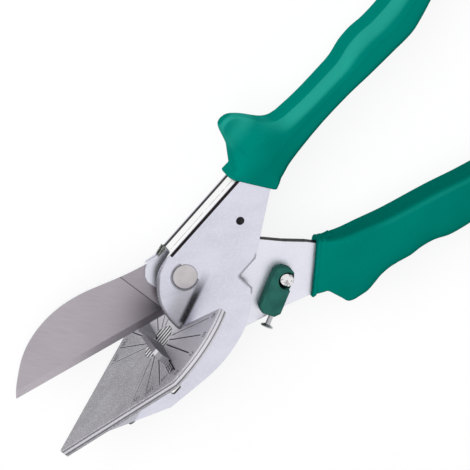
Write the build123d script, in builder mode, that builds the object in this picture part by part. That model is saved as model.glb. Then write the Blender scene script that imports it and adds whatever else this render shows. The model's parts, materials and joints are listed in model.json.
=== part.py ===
"""Mitre shears: a folded steel upper body with an anvil, and a lower lever with a long blade.

The shears lie on their side. +X runs along the anvil's cut line towards the handles, +Y stands
square on the anvil's face, and +Z is the axis of the main pivot. The origin is the middle of the
hanging hole, on the plane of the blade.
"""

import os
from math import acos, atan2, cos, degrees, hypot, radians, sin, sqrt

from build123d import *

# Main pivot, measured from the hanging hole
hole_behind_pivot = 34.5
hole_below_pivot = 1.9
hanging_hole_radius = 1.75

# Folded upper body
frame_width = 17.0
frame_gauge = 2.0
frame_bend_radius = 2.2
spine_height = 12.2
spine_start = 3.7
frame_tail_reach = 156.0
frame_tail_floor = 1.0
frame_tail_taper_start = 76.0
jaw_depth = 14.4
jaw_drop = 40.8
jaw_underhang = 1.6
jaw_plate_reach = 47.5
neck_corner_back = 53.4
neck_corner_drop = 2.7
notch_back = 15.4
notch_drop = 19.2
notch_upper_flank = 10.9
notch_lower_flank = 8.3
beak_behind_scale = 11.4
beak_clearance = 0.35
beak_flare = 1.2

# Outline of the nose as shares of the nose's reach and of the spine's height
nose_shares = [(-0.11, 0.93), (-0.35, 0.81), (-0.58, 0.53), (-0.79, 0.16), (-0.94, -0.39)]
# Crease of each beak, from beside the pivot's head down to the anvil and up to the nose
crease_shares = [(0.035, -0.68), (-0.80, -1.10), (-0.79, 0.16)]
# Lower curve of the jaw plates as shares of the jaw's drop
jaw_curve_shares = [(0.20, -0.81), (0.01, -0.914), (-0.19, -0.97), (-0.50, -1.0), (-0.80, -0.97),
                    (-1.21, -0.90)]

# Windows in the jaw plates, seen from the scale's centre
window_ahead = 10.6
window_width = 5.2
window_top = 11.4
window_depth = 8.0
window_corner = 1.0

# Anvil
scale_ahead = 31.1
anvil_tip_ahead = 67.7
anvil_thickness = 4.0
anvil_rim_radius = 43.0
anvil_rim_front_angle = 95.3
wing_setback = 3.0
anvil_tongue_back = 16.0
anvil_edge_chamfer = 0.6
anvil_tip_fillet = 1.5
plate_slot_clearance = 0.1

# Scale engraved in the anvil
scale_step_angle = 15.0
scale_first_angle = 45.0
scale_line_width = 0.7
scale_line_depth = 0.35
scale_line_inner = 9.4
scale_line_outer = 36.5

# Anvil carrier and its screws
carrier_front = 40.0
carrier_back = 11.5
carrier_depth = 12.0
carrier_clearance = 0.1
carrier_nose_chamfer = 7.0
nut_room_radius = 5.5
anvil_screw_places = (34.0, 22.0)
anvil_screw_radius = 2.0
anvil_screw_head_radius = 3.5
anvil_screw_head_height = 3.0
anvil_screw_grip = 2.6
screw_hole_clearance = 0.15
hex_socket_share = 0.5

# Swinging fence
hub_radius = 8.5
hub_thickness = 2.2
hub_recess_clearance = 0.2
seat_gap = 0.05
fence_floor_gap = 0.1
spindle_radius = 3.0
running_clearance = 0.05
fence_washer_radius = 5.0
fence_washer_thickness = 0.8
fence_nut_flats = 8.0
fence_nut_height = 3.2
spindle_overhang = 1.0
fence_wall_thickness = 3.4
fence_wall_lean = 1.3
fence_wall_behind = 0.9
fence_wall_start = 4.5
fence_wall_end = 26.4
fence_height = 9.2
fence_ridge_end = 21.4
fence_ridge_height = 7.0
fence_end_height = 4.8
pointer_width = 2.8
pointer_thickness = 0.9
pointer_reach = 33.0
pointer_mark_width = 0.5
pointer_mark_pitch = 0.95
pointer_mark_length = 4.6
pointer_mark_depth = 0.4

# Main pivot
pivot_head_radius = 5.5
pivot_head_proud = 0.3
pivot_head_clearance = 0.1
pivot_shank_radius = 4.0
pivot_bush_radius = 5.6
pivot_bore_clearance = 0.02
pivot_ring_radius = 6.5
pivot_ring_thickness = 1.2
pivot_ring_groove_depth = 0.5
pivot_end_overhang = 0.8
side_washer_radius = 9.0
side_gap = 0.1

# Lever: two plates round the blade and its core
lever_plate_gauge = 1.5
blade_gauge = 2.0
open_angle = 20.0
lever_boss_radius = 9.6
lever_neck_drop = 39.0
# Lever outline as shares of the neck's drop below the pivot, seen with the jaws shut
lever_top_shares = [(0.40, 0.14), (0.66, 0.03), (0.93, -0.095), (1.19, -0.285), (1.42, -0.43), (1.60, -0.57)]
lever_bottom_shares = [(1.60, -1.02), (1.42, -1.03), (1.17, -1.025), (0.87, -0.99), (0.57, -0.98),
                       (0.33, -0.965)]
lever_heel_shares = [(0.12, -0.80), (-0.06, -0.50), (-0.22, -0.27)]
lever_lobe_shares = [(-0.30, -0.10), (-0.395, 0.105), (-0.392, 0.18), (-0.345, 0.265), (-0.29, 0.305),
                     (-0.165, 0.312)]
stop_lug_height = 14.6
stop_lug_width = 4.0
stop_lug_fall = 0.8
stop_gap = 0.25
lever_tail_start = 61.0
lever_tail_flare_start = 65.0
lever_tail_flare_end = 72.0
lever_tail_reach = 156.0
lever_tail_half_width = 6.6
lever_tail_top = 28.2
lever_tail_height = 12.0
core_start = 17.5
core_shelf_drop = 18.5

# Rivets and spacers of the lever
rivet_radius = 2.0
lever_rivet_places = ((22.0, -6.0), (57.5, -24.5), (54.0, -35.0))
tail_spacer_front = 92.0
tail_spacer_end_inset = 8.0
tail_spacer_radius = 3.6
tail_rivet_radius = 1.8

# Blade
blade_reach = 91.5
blade_belly = 14.3
blade_edge_gap = 0.3
blade_heel_back = 12.5
blade_grind_depth = 0.15
blade_bevel_width = 3.5
blade_edge_thickness = 0.3
blade_boss_radius = 9.0
# Back of the blade as shares of its reach and of its belly height
blade_back_shares = [(-0.985, -0.78), (-0.943, -0.385), (-0.863, 0.195), (-0.754, 0.657), (-0.633, 0.923),
                     (-0.479, 1.0), (-0.304, 0.87), (-0.153, 0.80), (-0.07, 0.80)]
# The step where the ground face ends, as shares of the reach and of the belly height
grind_line_shares = [(-0.272, 0.86), (-0.150, -1.06)]
blade_screw_places = ((2.0, -13.5), (12.5, -3.0))
blade_screw_radius = 1.75
blade_screw_head_radius = 3.0
blade_screw_head_height = 1.0
blade_screw_pad = 4.0

# Return spring, wound in the space behind the lever
spring_wire = 1.0
spring_pitch = 1.46
spring_turns = 1.42
spring_mean_radius = 7.1
spring_wall_gap = 0.3
spring_frame_leg = 17.0
spring_lever_leg = 15.0
spring_frame_leg_angle = 8.4
spring_post_radius = 1.5
spring_post_gap = 0.2
spring_post_place_share = 0.85
spring_post_height = 2.1
spring_points_per_turn = 48
spring_leg_points = 15
spring_neighbour_share = 0.5

# Latch
latch_screw_back = 39.1
latch_screw_drop = 26.4
latch_lean = 139.5
latch_near_side = 3.2
latch_far_side = 7.2
latch_top = 5.6
latch_length = 17.6
latch_thickness = 5.2
latch_top_fillet = 4.6
latch_foot_chamfer = 2.2
latch_edge_fillet = 0.8
latch_washer_thickness = 0.5
latch_washer_radius = 4.0
latch_screw_radius = 2.0
latch_screw_head_radius = 3.4
latch_screw_head_height = 1.4
latch_screw_dome = 0.7
latch_recess_clearance = 0.7
latch_recess_depth = 2.4
driver_slot_width = 0.9
driver_slot_depth = 0.7
latch_stud_radius = 1.15
latch_stud_reach = 5.6
latch_stud_grip = 4.0
latch_stud_head_radius = 2.9
latch_stud_head_height = 1.3
latch_stud_head_rim = 0.35

# Grips
grip_corner_share = 0.25
grip_fit_gap = 0.1
upper_grip_end = 177.0
lower_grip_end = 177.0
upper_cuff_back = 50.6
upper_cuff_rise = 4.5
upper_cuff_lean = 24.0
lower_cuff_back = 53.2
lower_cuff_drop = 28.7
lower_cuff_lean = 32.0

# Upper grip stations: reach, top and floor as shares of the grip's end and of the spine's height,
# and width as a share of the frame's width
upper_grip_shares = [(0.225, 1.22, -0.52, 1.19), (0.33, 1.24, -0.38, 1.21), (0.46, 1.22, -0.17, 1.21),
                     (0.58, 1.16, -0.16, 1.22), (0.68, 1.24, -0.26, 1.26), (0.78, 1.26, -0.34, 1.27),
                     (0.87, 1.25, -0.32, 1.22), (0.95, 1.24, 0.02, 1.0), (1.0, 1.12, 0.38, 0.62)]
# Thumb horn stations: reach and half length as shares of the grip's end, height as a share of the
# spine's height, half width as a share of the frame's width
horn_shares = [(0.345, 0.085, 0.55, 0.56), (0.354, 0.066, 1.33, 0.56), (0.357, 0.049, 1.95, 0.50),
               (0.356, 0.036, 2.42, 0.40), (0.353, 0.019, 2.72, 0.24)]
# Lower grip stations: reach as a share of the grip's end, top and floor as shares of the neck's
# drop, and width as a share of the frame's width
lower_grip_shares = [(0.22, -0.33, -1.07, 0.60), (0.32, -0.42, -1.09, 0.68), (0.37, -0.52, -1.13, 0.94),
                     (0.46, -0.575, -1.15, 1.10), (0.56, -0.605, -1.16, 1.14), (0.66, -0.615, -1.17, 1.14),
                     (0.77, -0.64, -1.20, 1.14), (0.88, -0.66, -1.19, 1.10), (0.955, -0.70, -1.13, 0.90),
                     (1.0, -0.77, -1.03, 0.58)]
# Finger horn stations, as the thumb horn's but hanging from the lower grip
finger_horn_shares = [(0.372, 0.073, -0.95, 0.38), (0.376, 0.064, -1.13, 0.38), (0.379, 0.050, -1.26, 0.31),
                      (0.381, 0.032, -1.335, 0.17)]

overrun = 5.0

# Worked-out places, all seen from the main pivot
half_width = frame_width / 2
inner_half = half_width - frame_gauge
lever_half = blade_gauge / 2 + lever_plate_gauge
pivot_x = -hole_behind_pivot
pivot_y = hole_below_pivot
nose_reach = scale_ahead - beak_behind_scale
jaw_front = scale_ahead + jaw_plate_reach
anvil_back_face = half_width + wing_setback * sqrt(2) + plate_slot_clearance
anvil_under = jaw_depth + anvil_thickness


def at_pivot(height=0.0):
    """The blade plane moved up by height, centred on the main pivot."""
    return Plane(origin=(pivot_x, pivot_y, height), x_dir=(1, 0, 0), z_dir=(0, 0, 1))


def on_lever(height=0.0):
    """The same plane turned with the lever, so the lever is drawn with its jaws shut."""
    lean = radians(open_angle)
    return Plane(origin=(pivot_x, pivot_y, height), x_dir=(cos(lean), -sin(lean), 0), z_dir=(0, 0, 1))


def on_anvil(depth=0.0):
    """The anvil's face sunk by depth, centred on the scale: x runs back, y runs to the front side."""
    origin = (pivot_x - scale_ahead, pivot_y - jaw_depth - depth, 0)
    return Plane(origin=origin, x_dir=(1, 0, 0), z_dir=(0, -1, 0))


def across_frame(x):
    """A plane square to X at a distance behind the pivot, with its y along +Y."""
    return Plane(origin=(pivot_x + x, pivot_y, 0), x_dir=(0, 0, -1), z_dir=(1, 0, 0))


def lever_point(x, y, z=0.0):
    """A point given on the lever as a point of the whole part."""
    return on_lever(z).from_local_coords((x, y, 0))


def down_lever(y):
    """A plane square to the lever's height at y, looking down the lever, with its y along +Z."""
    return Plane(origin=lever_point(0, y), x_dir=on_lever().x_dir, z_dir=-on_lever().y_dir)


def across_lever(x):
    """A plane square to the lever's length, with its y along the lever's height."""
    lean = radians(open_angle)
    origin = lever_point(x, 0)
    return Plane(origin=origin, x_dir=(0, 0, -1), z_dir=(cos(lean), -sin(lean), 0))


def scaled(shares, length, height):
    """Outline points from shares of a length and a height."""
    return [(a * length, b * height) for a, b in shares]


def save(piece, name):
    """Label a finished piece and write it as its own file."""
    piece.part.label = name
    export_step(piece.part, f"parts/{name}.step")


os.makedirs("parts", exist_ok=True)

# Folded frame: spine, two side plates, jaw plates, notch, hanging hole and beaks
beak_tip = (-nose_reach, -jaw_depth + beak_clearance)
nose_line = [(spine_start, spine_height)] + scaled(nose_shares, nose_reach, spine_height) + [beak_tip]
plate_step = -scale_ahead + anvil_back_face + plate_slot_clearance
jaw_curve = scaled(jaw_curve_shares, jaw_drop, jaw_drop)
notch_low = (notch_back, -notch_drop - notch_lower_flank)
notch_high = (notch_back + notch_upper_flank, -notch_drop)

# Each beak leans out from a crease beside the pivot, so it is a wedge added outside the plate and
# the same wedge taken away inside it
crease_start, crease_end, crease_nose = scaled(crease_shares, nose_reach, spine_height)
crease_run = (crease_nose[0] - crease_start[0], crease_nose[1] - crease_start[1])
tip_run = (beak_tip[0] - crease_start[0], beak_tip[1] - crease_start[1])
crease_length = hypot(*crease_run)
tip_distance = abs(crease_run[0] * tip_run[1] - crease_run[1] * tip_run[0]) / crease_length
flare_lean = atan2(beak_flare, tip_distance)
lean_side = (-crease_run[1] / crease_length, crease_run[0] / crease_length)
flare_normal = (-lean_side[0] * sin(flare_lean), -lean_side[1] * sin(flare_lean), cos(flare_lean))

with BuildPart() as beak_wedge:
    with BuildSketch(at_pivot(half_width)):
        with BuildLine():
            Spline(crease_nose, nose_line[-2], beak_tip)
            Polyline(beak_tip, (crease_end[0], beak_tip[1]), crease_end, crease_start, crease_nose)
        make_face()
    extrude(amount=2 * beak_flare)
    split(bisect_by=Plane(origin=at_pivot(half_width).from_local_coords((*crease_start, 0)),
                          z_dir=flare_normal), keep=Keep.BOTTOM)

front_wedge = beak_wedge.part
rear_wedge = mirror(front_wedge, about=Plane.XY)

with BuildPart() as jaw_frame:
    with BuildSketch(across_frame(-jaw_front - overrun)):
        with BuildLine():
            leg_end = -jaw_drop - overrun
            corner = half_width - frame_bend_radius
            bend_drop = spine_height - frame_bend_radius
            Polyline((-inner_half, leg_end), (-half_width, leg_end), (-half_width, bend_drop))
            RadiusArc((-half_width, bend_drop), (-corner, spine_height), frame_bend_radius)
            Line((-corner, spine_height), (corner, spine_height))
            RadiusArc((corner, spine_height), (half_width, bend_drop), frame_bend_radius)
            Polyline((half_width, bend_drop), (half_width, leg_end), (inner_half, leg_end))
            Polyline((inner_half, leg_end), (inner_half, spine_height - frame_gauge),
                     (-inner_half, spine_height - frame_gauge), (-inner_half, leg_end))
        make_face()
    extrude(amount=jaw_front + frame_tail_reach + overrun)
    with BuildSketch(at_pivot(-half_width)):
        with BuildLine():
            Spline(*nose_line)
            Polyline(beak_tip, (plate_step, -jaw_depth + beak_clearance), (plate_step, -anvil_under),
                     (-jaw_front, -anvil_under), (-jaw_front, -anvil_under - jaw_underhang),
                     jaw_curve[-1])
            Spline(*reversed([notch_low] + jaw_curve))
            Polyline(notch_low, (notch_back, -notch_drop), notch_high,
                     (neck_corner_back, -neck_corner_drop),
                     (frame_tail_taper_start, frame_tail_floor), (frame_tail_reach, frame_tail_floor),
                     (frame_tail_reach, spine_height), (spine_start, spine_height))
        make_face()
    extrude(amount=frame_width, mode=Mode.INTERSECT)
    with BuildSketch(at_pivot(-inner_half)):
        with Locations((-overrun, 0)):
            Rectangle(jaw_front * 2, jaw_drop * 2, align=(Align.MAX, Align.CENTER))
        with Locations((spine_start, spine_height)):
            Rectangle(frame_width, frame_width, align=(Align.MAX, Align.CENTER))
    extrude(amount=2 * inner_half, mode=Mode.SUBTRACT)
    for side in (1, -1):
        outer = front_wedge if side == 1 else rear_wedge
        add(outer)
        add(outer.moved(Location((0, 0, -side * frame_gauge))), mode=Mode.SUBTRACT)
    with BuildSketch(at_pivot(-half_width - overrun)):
        with Locations((hole_behind_pivot, -hole_below_pivot)):
            Circle(hanging_hole_radius)
        with Locations((-scale_ahead - window_ahead, -jaw_depth - window_top - window_depth / 2)):
            RectangleRounded(window_width, window_depth, window_corner)
    extrude(amount=frame_width + 2 * overrun, mode=Mode.SUBTRACT)
    with BuildSketch(at_pivot(0)):
        Circle(pivot_head_radius + pivot_head_clearance)
    extrude(amount=half_width + overrun, mode=Mode.SUBTRACT)
    with BuildSketch(at_pivot(0)):
        Circle(pivot_shank_radius + pivot_bore_clearance)
    extrude(amount=-half_width - overrun, mode=Mode.SUBTRACT)
save(jaw_frame, "jaw_frame")

# Anvil: a leaf-shaped plate with a round rim about the scale's centre
rim_back_angle = degrees(acos(wing_setback / anvil_rim_radius)) - 45
tongue_half = inner_half - plate_slot_clearance
wing_inner = half_width + plate_slot_clearance


def around_scale(radius, angle):
    """A point at an angle from the cut line, about the scale's centre."""
    return (radius * cos(radians(angle)), radius * sin(radians(angle)))


rim_start = around_scale(anvil_rim_radius, anvil_rim_front_angle)
rim_middle = around_scale(anvil_rim_radius, (anvil_rim_front_angle + rim_back_angle) / 2)
rim_end = around_scale(anvil_rim_radius, rim_back_angle)

with BuildPart() as anvil:
    with BuildSketch(on_anvil()) as anvil_face:
        with BuildLine():
            Line((-anvil_tip_ahead, 0), rim_start)
            ThreePointArc(rim_start, rim_middle, rim_end)
            Polyline(rim_end, (anvil_back_face, wing_inner), (anvil_back_face, tongue_half),
                     (anvil_tongue_back, tongue_half), (anvil_tongue_back, 0))
            Line((anvil_tongue_back, 0), (-anvil_tip_ahead, 0))
        make_face()
        mirror(about=Plane.XZ)
        tip = anvil_face.vertices().sort_by(Axis.X)[0]
        fillet(tip, anvil_tip_fillet)
    extrude(amount=anvil_thickness)
    rim_edges = anvil.edges().filter_by(GeomType.CIRCLE).sort_by(SortBy.RADIUS)[-4:]
    chamfer(rim_edges, anvil_edge_chamfer)
    with BuildSketch(on_anvil()):
        Circle(hub_radius + hub_recess_clearance)
    extrude(amount=hub_thickness + seat_gap, mode=Mode.SUBTRACT)
    with BuildSketch(on_anvil()):
        Circle(spindle_radius + running_clearance)
    extrude(amount=anvil_thickness, mode=Mode.SUBTRACT)
    with BuildSketch(on_anvil(anvil_thickness)):
        for place in anvil_screw_places:
            with Locations((-place, 0)):
                Circle(anvil_screw_radius)
    extrude(amount=-anvil_screw_grip, mode=Mode.SUBTRACT)
    with BuildSketch(on_anvil()):
        lines_a_side = int((180 - 2 * scale_first_angle) / scale_step_angle) + 1
        for side in (1, -1):
            for count in range(lines_a_side):
                angle = scale_first_angle + count * scale_step_angle
                with Locations(Location((0, 0, 0), (0, 0, side * angle))):
                    with Locations(((scale_line_inner + scale_line_outer) / 2, 0)):
                        Rectangle(scale_line_outer - scale_line_inner, scale_line_width)
    extrude(amount=scale_line_depth, mode=Mode.SUBTRACT)
save(anvil, "anvil")

# Anvil carrier: a block between the jaw plates, with a tab in each window
carrier_top = -jaw_depth - anvil_thickness
carrier_front_x = -scale_ahead - carrier_front
carrier_back_x = -scale_ahead + carrier_back
tab_half_width = window_width / 2 - plate_slot_clearance

with BuildPart() as anvil_carrier:
    with BuildSketch(at_pivot(-inner_half + carrier_clearance)):
        with BuildLine():
            Polyline((carrier_front_x, carrier_top), (carrier_back_x, carrier_top),
                     (carrier_back_x, carrier_top - carrier_depth),
                     (carrier_front_x + 2 * carrier_nose_chamfer, carrier_top - carrier_depth),
                     (carrier_front_x, carrier_top - carrier_depth + carrier_nose_chamfer), close=True)
        make_face()
    extrude(amount=2 * (inner_half - carrier_clearance))
    with BuildSketch(at_pivot(-half_width + plate_slot_clearance)):
        with Locations((-scale_ahead - window_ahead, -jaw_depth - window_top - plate_slot_clearance)):
            RectangleRounded(2 * tab_half_width, window_depth / 2, window_corner,
                             align=(Align.CENTER, Align.MAX))
    extrude(amount=2 * (half_width - plate_slot_clearance))
    with BuildSketch(on_anvil(anvil_thickness)):
        Circle(nut_room_radius)
        for place in anvil_screw_places:
            with Locations((-place, 0)):
                Circle(anvil_screw_radius + screw_hole_clearance)
    extrude(amount=carrier_depth, mode=Mode.SUBTRACT)
    with BuildSketch(on_anvil(anvil_thickness + carrier_depth)):
        for place in anvil_screw_places:
            with Locations((-place, 0)):
                Circle(anvil_screw_head_radius + screw_hole_clearance)
    extrude(amount=-anvil_screw_head_height, mode=Mode.SUBTRACT)
save(anvil_carrier, "anvil_carrier")

# Two socket screws that hold the anvil from below
screw_seat = anvil_thickness + carrier_depth - anvil_screw_head_height
with BuildPart() as anvil_screws:
    with BuildSketch(on_anvil(screw_seat)):
        for place in anvil_screw_places:
            with Locations((-place, 0)):
                Circle(anvil_screw_head_radius)
    extrude(amount=anvil_screw_head_height)
    with BuildSketch(on_anvil(screw_seat)):
        for place in anvil_screw_places:
            with Locations((-place, 0)):
                Circle(anvil_screw_radius)
    extrude(amount=-(screw_seat - anvil_thickness + anvil_screw_grip))
    with BuildSketch(on_anvil(anvil_thickness + carrier_depth)):
        for place in anvil_screw_places:
            with Locations((-place, 0)):
                RegularPolygon(anvil_screw_head_radius * hex_socket_share, 6)
    extrude(amount=-anvil_screw_head_height * hex_socket_share, mode=Mode.SUBTRACT)
save(anvil_screws, "anvil_screws")

# Swinging fence: a hub let into the anvil, a wall on each side of the blade and a pointer on each
wall_front = fence_wall_behind - fence_wall_thickness
wall_back_x = -scale_ahead + fence_wall_behind
wall_foot_reach = sqrt(hub_radius**2 - wall_front**2) - fence_floor_gap
pointer_middle = wall_front + (fence_wall_thickness - fence_wall_lean) / 2
with BuildPart() as angle_fence:
    with BuildSketch(on_anvil()):
        Circle(hub_radius)
    extrude(amount=hub_thickness)
    with BuildSketch(on_anvil()):
        Circle(spindle_radius)
    extrude(amount=anvil_thickness + seat_gap + fence_washer_thickness + fence_nut_height + spindle_overhang)
    wall_foot = on_anvil().from_local_coords((wall_front, 0, 0))
    wall_plane = Plane(origin=wall_foot, x_dir=(0, 0, 1), z_dir=(1, 0, 0))
    for side in (1, -1):
        with BuildSketch(wall_plane):
            with BuildLine():
                Polyline((side * fence_wall_start, hub_thickness / 2),
                         (side * fence_wall_start, -fence_height),
                         (side * fence_ridge_end, -fence_ridge_height),
                         (side * fence_wall_end, -fence_end_height),
                         (side * fence_wall_end, -fence_floor_gap),
                         (side * wall_foot_reach, -fence_floor_gap),
                         (side * wall_foot_reach, hub_thickness / 2), close=True)
            make_face()
        extrude(amount=fence_wall_thickness)
    with BuildSketch(at_pivot(-pointer_reach)):
        with BuildLine():
            Polyline((wall_back_x, -jaw_depth), (wall_back_x - fence_wall_lean, -jaw_depth + fence_height),
                     (wall_back_x + overrun, -jaw_depth + fence_height), (wall_back_x + overrun, -jaw_depth),
                     close=True)
        make_face()
    extrude(amount=2 * pointer_reach, mode=Mode.SUBTRACT)
    with BuildSketch(on_anvil(-fence_floor_gap)):
        for side in (1, -1):
            with Locations((pointer_middle, side * (fence_wall_end + pointer_reach) / 2)):
                Rectangle(pointer_width, pointer_reach - fence_wall_end + fence_wall_thickness)
    extrude(amount=-pointer_thickness)
    with BuildSketch(on_anvil(-fence_floor_gap - pointer_thickness)):
        for side in (1, -1):
            for count in (-1, 0, 1):
                mark_x = pointer_middle + count * pointer_mark_pitch
                with Locations((mark_x, side * pointer_reach)):
                    Rectangle(pointer_mark_width, 2 * pointer_mark_length)
    extrude(amount=pointer_mark_depth, mode=Mode.SUBTRACT)
save(angle_fence, "angle_fence")

washer_top = anvil_thickness + seat_gap
with BuildPart() as fence_washer:
    with BuildSketch(on_anvil(washer_top)):
        Circle(fence_washer_radius)
        Circle(spindle_radius + pivot_bore_clearance, mode=Mode.SUBTRACT)
    extrude(amount=fence_washer_thickness)
save(fence_washer, "fence_washer")

with BuildPart() as fence_nut:
    with BuildSketch(on_anvil(washer_top + fence_washer_thickness)):
        RegularPolygon(fence_nut_flats / 2, 6, major_radius=False)
        Circle(spindle_radius + pivot_bore_clearance, mode=Mode.SUBTRACT)
    extrude(amount=fence_nut_height)
save(fence_nut, "fence_nut")

# Main pivot: headed pin, sleeve, a washer on each side and a ring behind
pin_end = -half_width - seat_gap - pivot_ring_thickness - pivot_end_overhang
ring_front = -half_width - seat_gap
with BuildPart() as pivot_pin:
    with BuildSketch(at_pivot(inner_half)):
        Circle(pivot_head_radius)
    extrude(amount=frame_gauge + pivot_head_proud)
    chamfer(pivot_pin.edges().sort_by(Axis.Z)[-1], pivot_head_proud / 2)
    with BuildSketch(at_pivot(pin_end)):
        Circle(pivot_shank_radius)
    extrude(amount=inner_half - pin_end)
    with BuildSketch(at_pivot(ring_front)):
        Circle(pivot_shank_radius + overrun)
        Circle(pivot_shank_radius - pivot_ring_groove_depth, mode=Mode.SUBTRACT)
    extrude(amount=-pivot_ring_thickness, mode=Mode.SUBTRACT)
save(pivot_pin, "pivot_pin")

with BuildPart() as pivot_ring:
    with BuildSketch(at_pivot(ring_front)):
        Circle(pivot_ring_radius)
        Circle(pivot_shank_radius - pivot_ring_groove_depth, mode=Mode.SUBTRACT)
        with Locations((0, -pivot_shank_radius)):
            Rectangle(pivot_shank_radius, 2 * pivot_shank_radius, mode=Mode.SUBTRACT)
    extrude(amount=-pivot_ring_thickness)
save(pivot_ring, "pivot_ring")


def pivot_sleeve(low, high, radius):
    """A sleeve on the pivot pin between two heights."""
    with BuildPart() as sleeve:
        with BuildSketch(at_pivot(low)):
            Circle(radius)
            Circle(pivot_shank_radius + pivot_bore_clearance, mode=Mode.SUBTRACT)
        extrude(amount=high - low)
    return sleeve


washer_inner = lever_half + side_gap
save(pivot_sleeve(-washer_inner, washer_inner, pivot_bush_radius), "pivot_bush")
save(pivot_sleeve(washer_inner, inner_half, side_washer_radius), "front_washer")
save(pivot_sleeve(-inner_half, -washer_inner, pivot_bush_radius), "rear_washer")

# Lever outline with the jaws shut
shut = radians(open_angle)


def open_to_shut(x, y):
    """A point of the open pose, seen on the lever with the jaws shut."""
    return (x * cos(shut) - y * sin(shut), x * sin(shut) + y * cos(shut))


lug_face = spine_start - stop_gap
lug_root = open_to_shut(lug_face, sqrt(lever_boss_radius**2 - lug_face**2))
lug_tip = open_to_shut(lug_face, stop_lug_height)
lug_back = open_to_shut(lug_face - stop_lug_width, stop_lug_height - stop_lug_fall)
neck = lever_neck_drop
lever_outline = (
    [lug_back, lug_tip, lug_root]
    + scaled(lever_top_shares, neck, neck)
    + scaled(lever_bottom_shares, neck, neck)
    + scaled(lever_heel_shares, neck, neck)
    + scaled(lever_lobe_shares, neck, neck)
)
tail_spacer_places = (tail_spacer_front, lever_tail_reach - tail_spacer_end_inset)
tail_inner = lever_tail_half_width - lever_plate_gauge
tail_half = lever_tail_half_width


def lever_plate(side):
    """One lever plate, flat at the neck and set outwards inside the grip."""
    with BuildPart() as plate:
        low = blade_gauge / 2 if side > 0 else -lever_half
        with BuildSketch(on_lever(low)):
            with BuildLine():
                Polyline(*lever_outline, close=True)
            make_face()
            Circle(lever_boss_radius)
        extrude(amount=lever_plate_gauge)
        with BuildSketch(down_lever(-lever_tail_top)):
            with BuildLine():
                Polyline((lever_tail_start - lever_tail_height / 2, side * blade_gauge / 2),
                         (lever_tail_flare_start, side * blade_gauge / 2),
                         (lever_tail_flare_end, side * tail_inner),
                         (lever_tail_reach, side * tail_inner), (lever_tail_reach, side * tail_half),
                         (lever_tail_flare_end - lever_plate_gauge / 2, side * tail_half),
                         (lever_tail_flare_start - lever_plate_gauge / 2, side * lever_half),
                         (lever_tail_start - lever_tail_height / 2, side * lever_half), close=True)
            make_face()
        extrude(amount=lever_tail_height)
        with BuildSketch(on_lever(-half_width)):
            Circle(pivot_bush_radius + running_clearance)
            for place in lever_rivet_places:
                with Locations(place):
                    Circle(rivet_radius + pivot_bore_clearance)
            for place in blade_screw_places:
                with Locations(place):
                    Circle(blade_screw_radius + pivot_bore_clearance)
            with Locations((latch_screw_back, -latch_screw_drop)):
                Circle(latch_screw_radius + pivot_bore_clearance)
            for place in tail_spacer_places:
                with Locations((place, -lever_tail_top - lever_tail_height / 2)):
                    Circle(tail_rivet_radius + pivot_bore_clearance)
        extrude(amount=frame_width, mode=Mode.SUBTRACT)
    return plate


front_lever_plate = lever_plate(1)
save(front_lever_plate, "front_lever_plate")
rear_lever_plate = lever_plate(-1)
save(rear_lever_plate, "rear_lever_plate")

# Blade: long curved back, straight edge, and a tang round the pivot held by two screws
edge_drop = jaw_depth - blade_edge_gap
blade_back = [(-blade_reach, -edge_drop)] + scaled(blade_back_shares, blade_reach, blade_belly)
heel = (-blade_heel_back, -edge_drop)

with BuildPart() as blade:
    with BuildSketch(on_lever(-blade_gauge / 2)):
        Circle(blade_boss_radius)
        for place in blade_screw_places:
            with Locations(place):
                Circle(blade_screw_pad)
        make_hull()
    extrude(amount=blade_gauge)
    with BuildSketch(on_lever(-blade_gauge / 2)):
        with BuildLine():
            Spline(*blade_back)
            Polyline(blade_back[-1], (0, blade_boss_radius), (0, 0), heel, (-blade_reach, -edge_drop))
        make_face()
    extrude(amount=blade_gauge)
    grind_top, grind_low = scaled(grind_line_shares, blade_reach, blade_belly)
    for side in (1, -1):
        with BuildSketch(on_lever(side * blade_gauge / 2)):
            with BuildLine():
                Polyline(grind_top, grind_low, (grind_low[0], -edge_drop - overrun),
                         (-blade_reach - overrun, -edge_drop - overrun),
                         (-blade_reach - overrun, grind_top[1] + overrun),
                         (grind_top[0], grind_top[1] + overrun), close=True)
            make_face()
        extrude(amount=-side * blade_grind_depth, mode=Mode.SUBTRACT)
    ground_half = blade_gauge / 2 - blade_grind_depth
    edge_half = blade_edge_thickness / 2
    bevel_start = lever_point(-blade_reach - overrun, -edge_drop)
    bevel_plane = Plane(origin=bevel_start, x_dir=(0, 0, 1), z_dir=on_lever().x_dir)
    bevel_length = blade_reach + overrun - blade_heel_back + blade_gauge
    for side in (1, -1):
        with BuildSketch(bevel_plane):
            with BuildLine():
                Polyline((side * edge_half, 0), (side * ground_half, -blade_bevel_width),
                         (side * blade_gauge, -blade_bevel_width), (side * blade_gauge, overrun),
                         (side * edge_half, overrun), close=True)
            make_face()
        extrude(amount=bevel_length, mode=Mode.SUBTRACT)
    with BuildSketch(on_lever(-blade_gauge)):
        Circle(pivot_bush_radius + running_clearance)
        for place in blade_screw_places:
            with Locations(place):
                Circle(blade_screw_radius + pivot_bore_clearance)
    extrude(amount=2 * blade_gauge, mode=Mode.SUBTRACT)
save(blade, "blade")

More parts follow.
